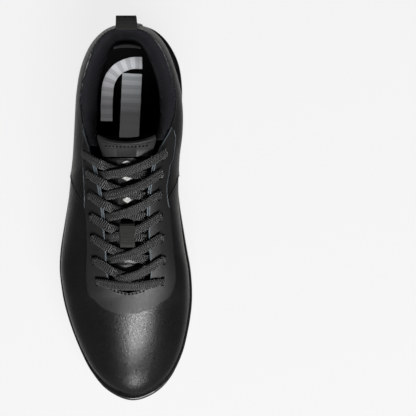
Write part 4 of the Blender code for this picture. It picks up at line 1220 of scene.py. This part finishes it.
def throat(y):
    """Edges of the throat at y, each as x and z: lateral, then medial."""
    def edge(table):
        rows = table[9:15]
        ys = [-r[1] for r in rows]
        return [np.interp(-y, ys, [r[k] for r in rows]) for k in (0, 2)]

    return edge(LATERAL_TOP), edge(MEDIAL_TOP)


def taut(x, y):
    (left, left_z), (right, right_z) = throat(y)
    f = (x - left) / (right - left)
    return left_z + (right_z - left_z) * f + THROAT_RISE * (1 - (2 * f - 1) ** 2)


def tongue_crown(y):
    return float(np.interp(y, [row[0] for row in TONGUE], [row[1] for row in TONGUE]))


def turn(where, angles=(90, 120, 150, 180, 210, 240, 270)):
    centre, inward, _, normal = where
    middle = centre + inward * TURN
    return [middle + TURN * (math.cos(math.radians(a)) * inward + math.sin(math.radians(a)) * normal)
            for a in angles]


def strand(start, end, profile, extra):
    (c0, in0, _, n0), (c1, in1, _, n1) = start, end
    points = [c0 + in0 * (TURN + 2.2) - n0 * TURN]
    for edge, lift in profile:
        (left, _), (right, _) = throat((c0[1] + c1[1]) / 2)
        x = (left + right) / 2 + edge * (right - left) / 2
        f = (x - c0[0]) / (c1[0] - c0[0])
        y = c0[1] + (c1[1] - c0[1]) * f - LACE_SAG * 4 * f * (1 - f)
        points.append(np.array((x, y, taut(x, y) + lift + (extra if lift > 2 else 0))))
    return points + [c1 + in1 * (TURN + 1.2) + n1 * (TURN + 0.7 + extra)]


OVER_RIGHT = [(-0.92, -4.0), (-0.55, 0.3), (0, 1.3), (0.55, 2.1), (0.92, 3.9)]
OVER_LEFT = [(0.92, -4.0), (0.55, -1.8), (0, -1.3), (-0.55, -1.4), (-0.92, 3.7)]


def tail(where, side):
    centre, _, _, normal = where
    points = turn(where, (90, 120, 150, 180)) + [centre - normal * 4]
    u = 8.75 if side == "lateral" else AROUND - 8.75
    for distance, depth in ((13, -7.0), (22, -8.4), (31, -8.6), (40, -8.6), (48, -8.6)):
        wall = layer(np.array([u]), setback(np.array([u]), distance), depth)[0]
        points.append(np.array((wall[0], centre[1] + (wall[1] - centre[1]) * 0.3, wall[2])))
    return points


def lace_path():
    left = [slot_frame("lateral", r) for r in range(len(ROW_Y))]
    right = [slot_frame("medial", r) for r in range(len(ROW_Y))]
    last = len(ROW_Y) - 1
    bar = []
    for f in np.linspace(0, 1, 7)[1:-1]:
        a, b = left[0][0], right[0][0]
        x, y = a[0] + (b[0] - a[0]) * f, (a[1] + b[1]) / 2 - 15 * f * (1 - f)
        rise = TURN + 1.2 + 2.2 * 4 * f * (1 - f)
        bar.append(np.array((x, y, a[2] + (b[2] - a[2]) * f + rise + 2.4 * math.sin(math.pi * f))))

    def run(odd, even, profile_odd, profile_even):
        points, here, there, out, back = [], odd, even, profile_odd, profile_even
        for row in range(last):
            extra = 1.3 if row + 1 == last else 0
            points += turn(here[row]) + strand(here[row], there[row + 1], out, extra)
            here, there, out, back = there, here, back, out
        return points, here

    from_left, end_left = run(left, right, OVER_RIGHT, OVER_LEFT)
    from_right, end_right = run(right, left, OVER_LEFT, OVER_RIGHT)
    side_of = {id(left): "lateral", id(right): "medial"}
    path = (from_right + tail(end_right[last], side_of[id(end_right)]))[::-1]
    path += bar[::-1]
    return path + from_left + tail(end_left[last], side_of[id(end_left)])


def build_lace():
    rough = lace_path()
    path = even_path(smooth_path(rough, 6), LACE_STEP)
    outline = [(LACE_HALF_WIDTH * math.copysign(abs(math.cos(a)) ** 0.55, math.cos(a)),
                LACE_HALF_THICK * math.copysign(abs(math.sin(a)) ** 0.8, math.sin(a)))
               for a in np.linspace(0, 2 * math.pi, 22, endpoint=False)]
    level = np.array((0, 1, 0.2))
    run = np.arange(len(path)) * LACE_STEP
    slots = np.array([slot_frame(side, row)[0] for side in ("lateral", "medial") for row in range(len(ROW_Y))])
    near = np.linalg.norm(path[:, None] - slots[None], axis=-1).min(1)
    pinch = 1 - 0.26 * (1 - eased((near - 2) / 8))
    rib = 0.87 + 0.15 * np.abs(np.sin(np.pi * run / LACE_RIB)) ** 0.8
    lean = 0.10 * np.sin(run / 17.0) + 0.06 * np.sin(run / 7.3 + 1)
    lace = sweep("lace_cord", path, np.tile(level, (len(path), 1)), outline, "lace", twist=lean,
                 grow=np.stack([rib * pinch, rib * (1.6 - 0.6 * pinch)], -1))
    place(lace, "shoe", "lace")
    for name, node, end, before in (("aglet_end_a", "aglet_a", rough[0], rough[1]),
                                    ("aglet_end_b", "aglet_b", rough[-1], rough[-2])):
        step = unit(end - before)
        tube = np.array([end + step * s for s in np.linspace(0.4, 15, 12)])
        place(sweep(name, tube, np.tile(level, (12, 1)), flat_outline(4.2, 2.2, 0.9), "plastic"), "shoe", node)


def build_keeper():
    start, end = -26.0, -8.4
    top = max(taut(5, y) for y in np.linspace(start, end, 5)) + 0.2
    rise = taut(5, end) - taut(5, start)
    path = []
    for y, lift in ((start, 0.0), (start, 0.55), (start + 1.2, 0.9), (start + 3.5, 1.0),
                    (end - 3.5, 1.0), (end - 1.2, 0.9), (end, 0.55), (end, 0.0)):
        f = (y - start) / (end - start)
        foot = tongue_crown(y) + 0.5
        roof = top - rise + rise * f + 3.4
        path.append(np.array((5.1, y, foot + (roof - foot) * lift)))
    path = even_path(smooth_path(path, 8), 0.5)
    across = np.tile(np.array((1.0, 0, 0)), (len(path), 1))
    keeper = sweep("lace_keeper_tape", path, across, flat_outline(11.4, 1.3, 0.5), "webbing")
    place(keeper, "shoe", "lace_keeper")
    y = start + 4.2
    z = float(np.interp(y, path[:, 1], path[:, 2])) + 0.75
    x = np.linspace(0.0, 10.2, 30)
    line = np.stack([x, np.full(30, y), np.full(30, z)], -1)
    line2 = line + np.array((0, 1.6, 0.35))
    normals = np.tile(unit((0, -0.2, 1)), (30, 1))
    place(stitches("keeper_stitches", [(line, normals), (line2, normals)], "thread", 1.5, 0.6, 0.22))


def build_pull_tab():
    """A folded loop of tape, wound round a leaning ellipse."""
    count, wide, tall = 64, 5.3, 2.8
    lean = math.radians(42)
    along = np.array((0, math.cos(lean), math.sin(lean)))
    up = np.array((0, -math.sin(lean), math.cos(lean)))
    angles = np.linspace(0, 2 * math.pi, count, endpoint=False)
    round_, rise = np.cos(angles)[:, None], np.sin(angles)[:, None]
    path = np.array((4.6, 143.1, 96.5)) + wide * round_ * along + tall * rise * up
    outer = unit(round_ * along / wide + rise * up / tall)
    outline = np.array(flat_outline(15.8, 1.3, 0.45))
    grow = (1 - 0.03 * round_)[:, :, None]
    points = path[:, None] + (1.0, 0, 0) * (outline[None, :, :1] * grow) + outer[:, None] * outline[None, :, 1:]
    columns = len(outline)
    run = np.repeat(np.arange(count)[:, None] * 0.44, columns, 1)
    uv = np.stack([run, np.repeat(outline[None, :, 0], count, 0)], -1).reshape(-1, 2) * MM
    tab = outward_faces(mesh_object("pull_tab_tape", points.reshape(-1, 3),
                                    grid_faces(count, columns, True, True), "tab", uv=uv, sharp=50))
    place(tab, "pull_tab", "pull_tab")


# --- Stage --------------------------------------------------------------------------------------

def build_floor():
    work = bmesh.new()
    bmesh.ops.create_grid(work, x_segments=60, y_segments=60, size=2.2)
    mesh = bpy.data.meshes.new("floor")
    work.to_mesh(mesh)
    work.free()
    floor = linked("floor", mesh)
    floor.location = (0, 0, -0.0002)
    g = Graph("floor_paper")
    fibre = g.noise(700, 3)
    g.surface(g.mix(fibre, grey(0.075), grey(0.085)), g.noise(60), 0.85, 0.95)
    g.bump((fibre, 0.05, 0.0001))
    g.set(emission_color=(1, 1, 1, 1), emission_strength=0.825, specular_ior_level=0.0)
    mesh.materials.append(g.material)
    floor.visible_glossy = False


def build_world():
    """A studio that is bright at the horizon and dark above, a little brighter on the shoe's outer side."""
    world = bpy.data.worlds.new("studio")
    bpy.context.scene.world = world
    world.use_nodes = True
    tree = world.node_tree

    def mapped(value, **settings):
        made = tree.nodes.new("ShaderNodeMapRange")
        for key, number in settings.items():
            made.inputs[key.replace("_", " ")].default_value = number
        tree.links.new(value, made.inputs["Value"])
        return made.outputs["Result"]

    split = tree.nodes.new("ShaderNodeSeparateXYZ")
    tree.links.new(tree.nodes.new("ShaderNodeTexCoord").outputs["Generated"], split.inputs[0])
    ramp = tree.nodes.new("ShaderNodeValToRGB")
    tree.links.new(mapped(split.outputs[2], From_Min=-1), ramp.inputs[0])
    low, high = ramp.color_ramp.elements
    low.position, low.color = 0.0, (0.7, 0.69, 0.66, 1)
    high.position, high.color = 1.0, (0.02, 0.02, 0.022, 1)
    for position, value in ((0.05, 0.36), (0.11, 0.085), (0.2, 0.04), (0.42, 0.028), (0.56, 0.025),
                            (0.8, 0.015)):
        ramp.color_ramp.elements.new(position).color = grey(value)
    background = tree.nodes["Background"]
    tree.links.new(ramp.outputs[0], background.inputs[0])
    tilt = mapped(split.outputs[0], From_Min=-1, From_Max=1, To_Min=1.8, To_Max=0.4)
    tree.links.new(tilt, background.inputs[1])


def lamp(name, direction, size, power, distance=1.7, target=(0, -0.02, 0.05), colour=(1, 1, 1)):
    light = bpy.data.lights.new(name, "AREA")
    light.shape, light.energy, light.color = "RECTANGLE", power, colour
    light.size, light.size_y = size
    made = linked(name, light)
    aim = Vector(direction).normalized()
    made.location = Vector(target) + aim * distance
    made.rotation_euler = (-aim).to_track_quat("-Z", "Y").to_euler()
    return made


def build_lamps():
    lamp("key_softbox", (0.3, -0.78, 1.05), (1.35, 0.42), 42)
    lamp("toe_softbox", (0.08, -1.0, 0.12), (0.7, 0.25), 10, target=(0, -0.1, 0.04))
    lamp("outer_softbox", (-1.0, 0.45, 0.12), (0.9, 0.3), 2.6, target=(0, 0.05, 0.05), colour=(1, 0.96, 0.88))
    lamp("inner_softbox", (1.0, 0.45, 0.12), (0.9, 0.3), 0.9, target=(0, 0.05, 0.05), colour=(1, 0.97, 0.9))
    fill = lamp("footbed_fill", (0.1, 0.25, 1.0), (0.3, 0.3), 12, 1.3, (0, 0.09, 0.04))
    lit = bpy.data.collections.new("footbed_lit")
    bpy.context.scene.collection.children.link(lit)
    for name in ("print_band", "print_panel", "heel_cup_trim"):
        lit.objects.link(bpy.data.objects[name])
    fill.light_linking.receiver_collection = lit


def build_camera():
    camera = linked("camera", bpy.data.cameras.new("camera"))
    camera.location = CAMERA_AT
    camera.data.sensor_width = SENSOR
    camera.data.lens = SENSOR * CAMERA_AT[2] / VIEW_WIDTH
    camera.data.clip_start, camera.data.clip_end = 0.05, 20
    bpy.context.scene.camera = camera
    bpy.context.scene.view_settings.view_transform = "Standard"


def dress_frame():
    """Procedural finishes for the CAD nodes that stay in view."""
    kept = {"shank": "plastic", "lasting_board": "board", "heel_counter": "plastic", "toe_puff": "plastic",
            "vamp_lining": "inner", "eyestay_facing_lateral": "inner", "eyestay_facing_medial": "inner"}
    for name, slot in kept.items():
        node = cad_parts[name]
        node.data.materials.clear()
        node.data.materials.append(MATERIAL[slot])


dress_frame()
grooved_outsole()
midsole_wall()
toe_bumper()
build_footbed()
upper_panels()
build_film()
build_upper_details()
build_collar()
build_tongue()
build_tongue_top()
build_tongue_top_details()
build_strip()
build_lace()
build_keeper()
build_pull_tab()
build_floor()
build_world()
build_lamps()
build_camera()
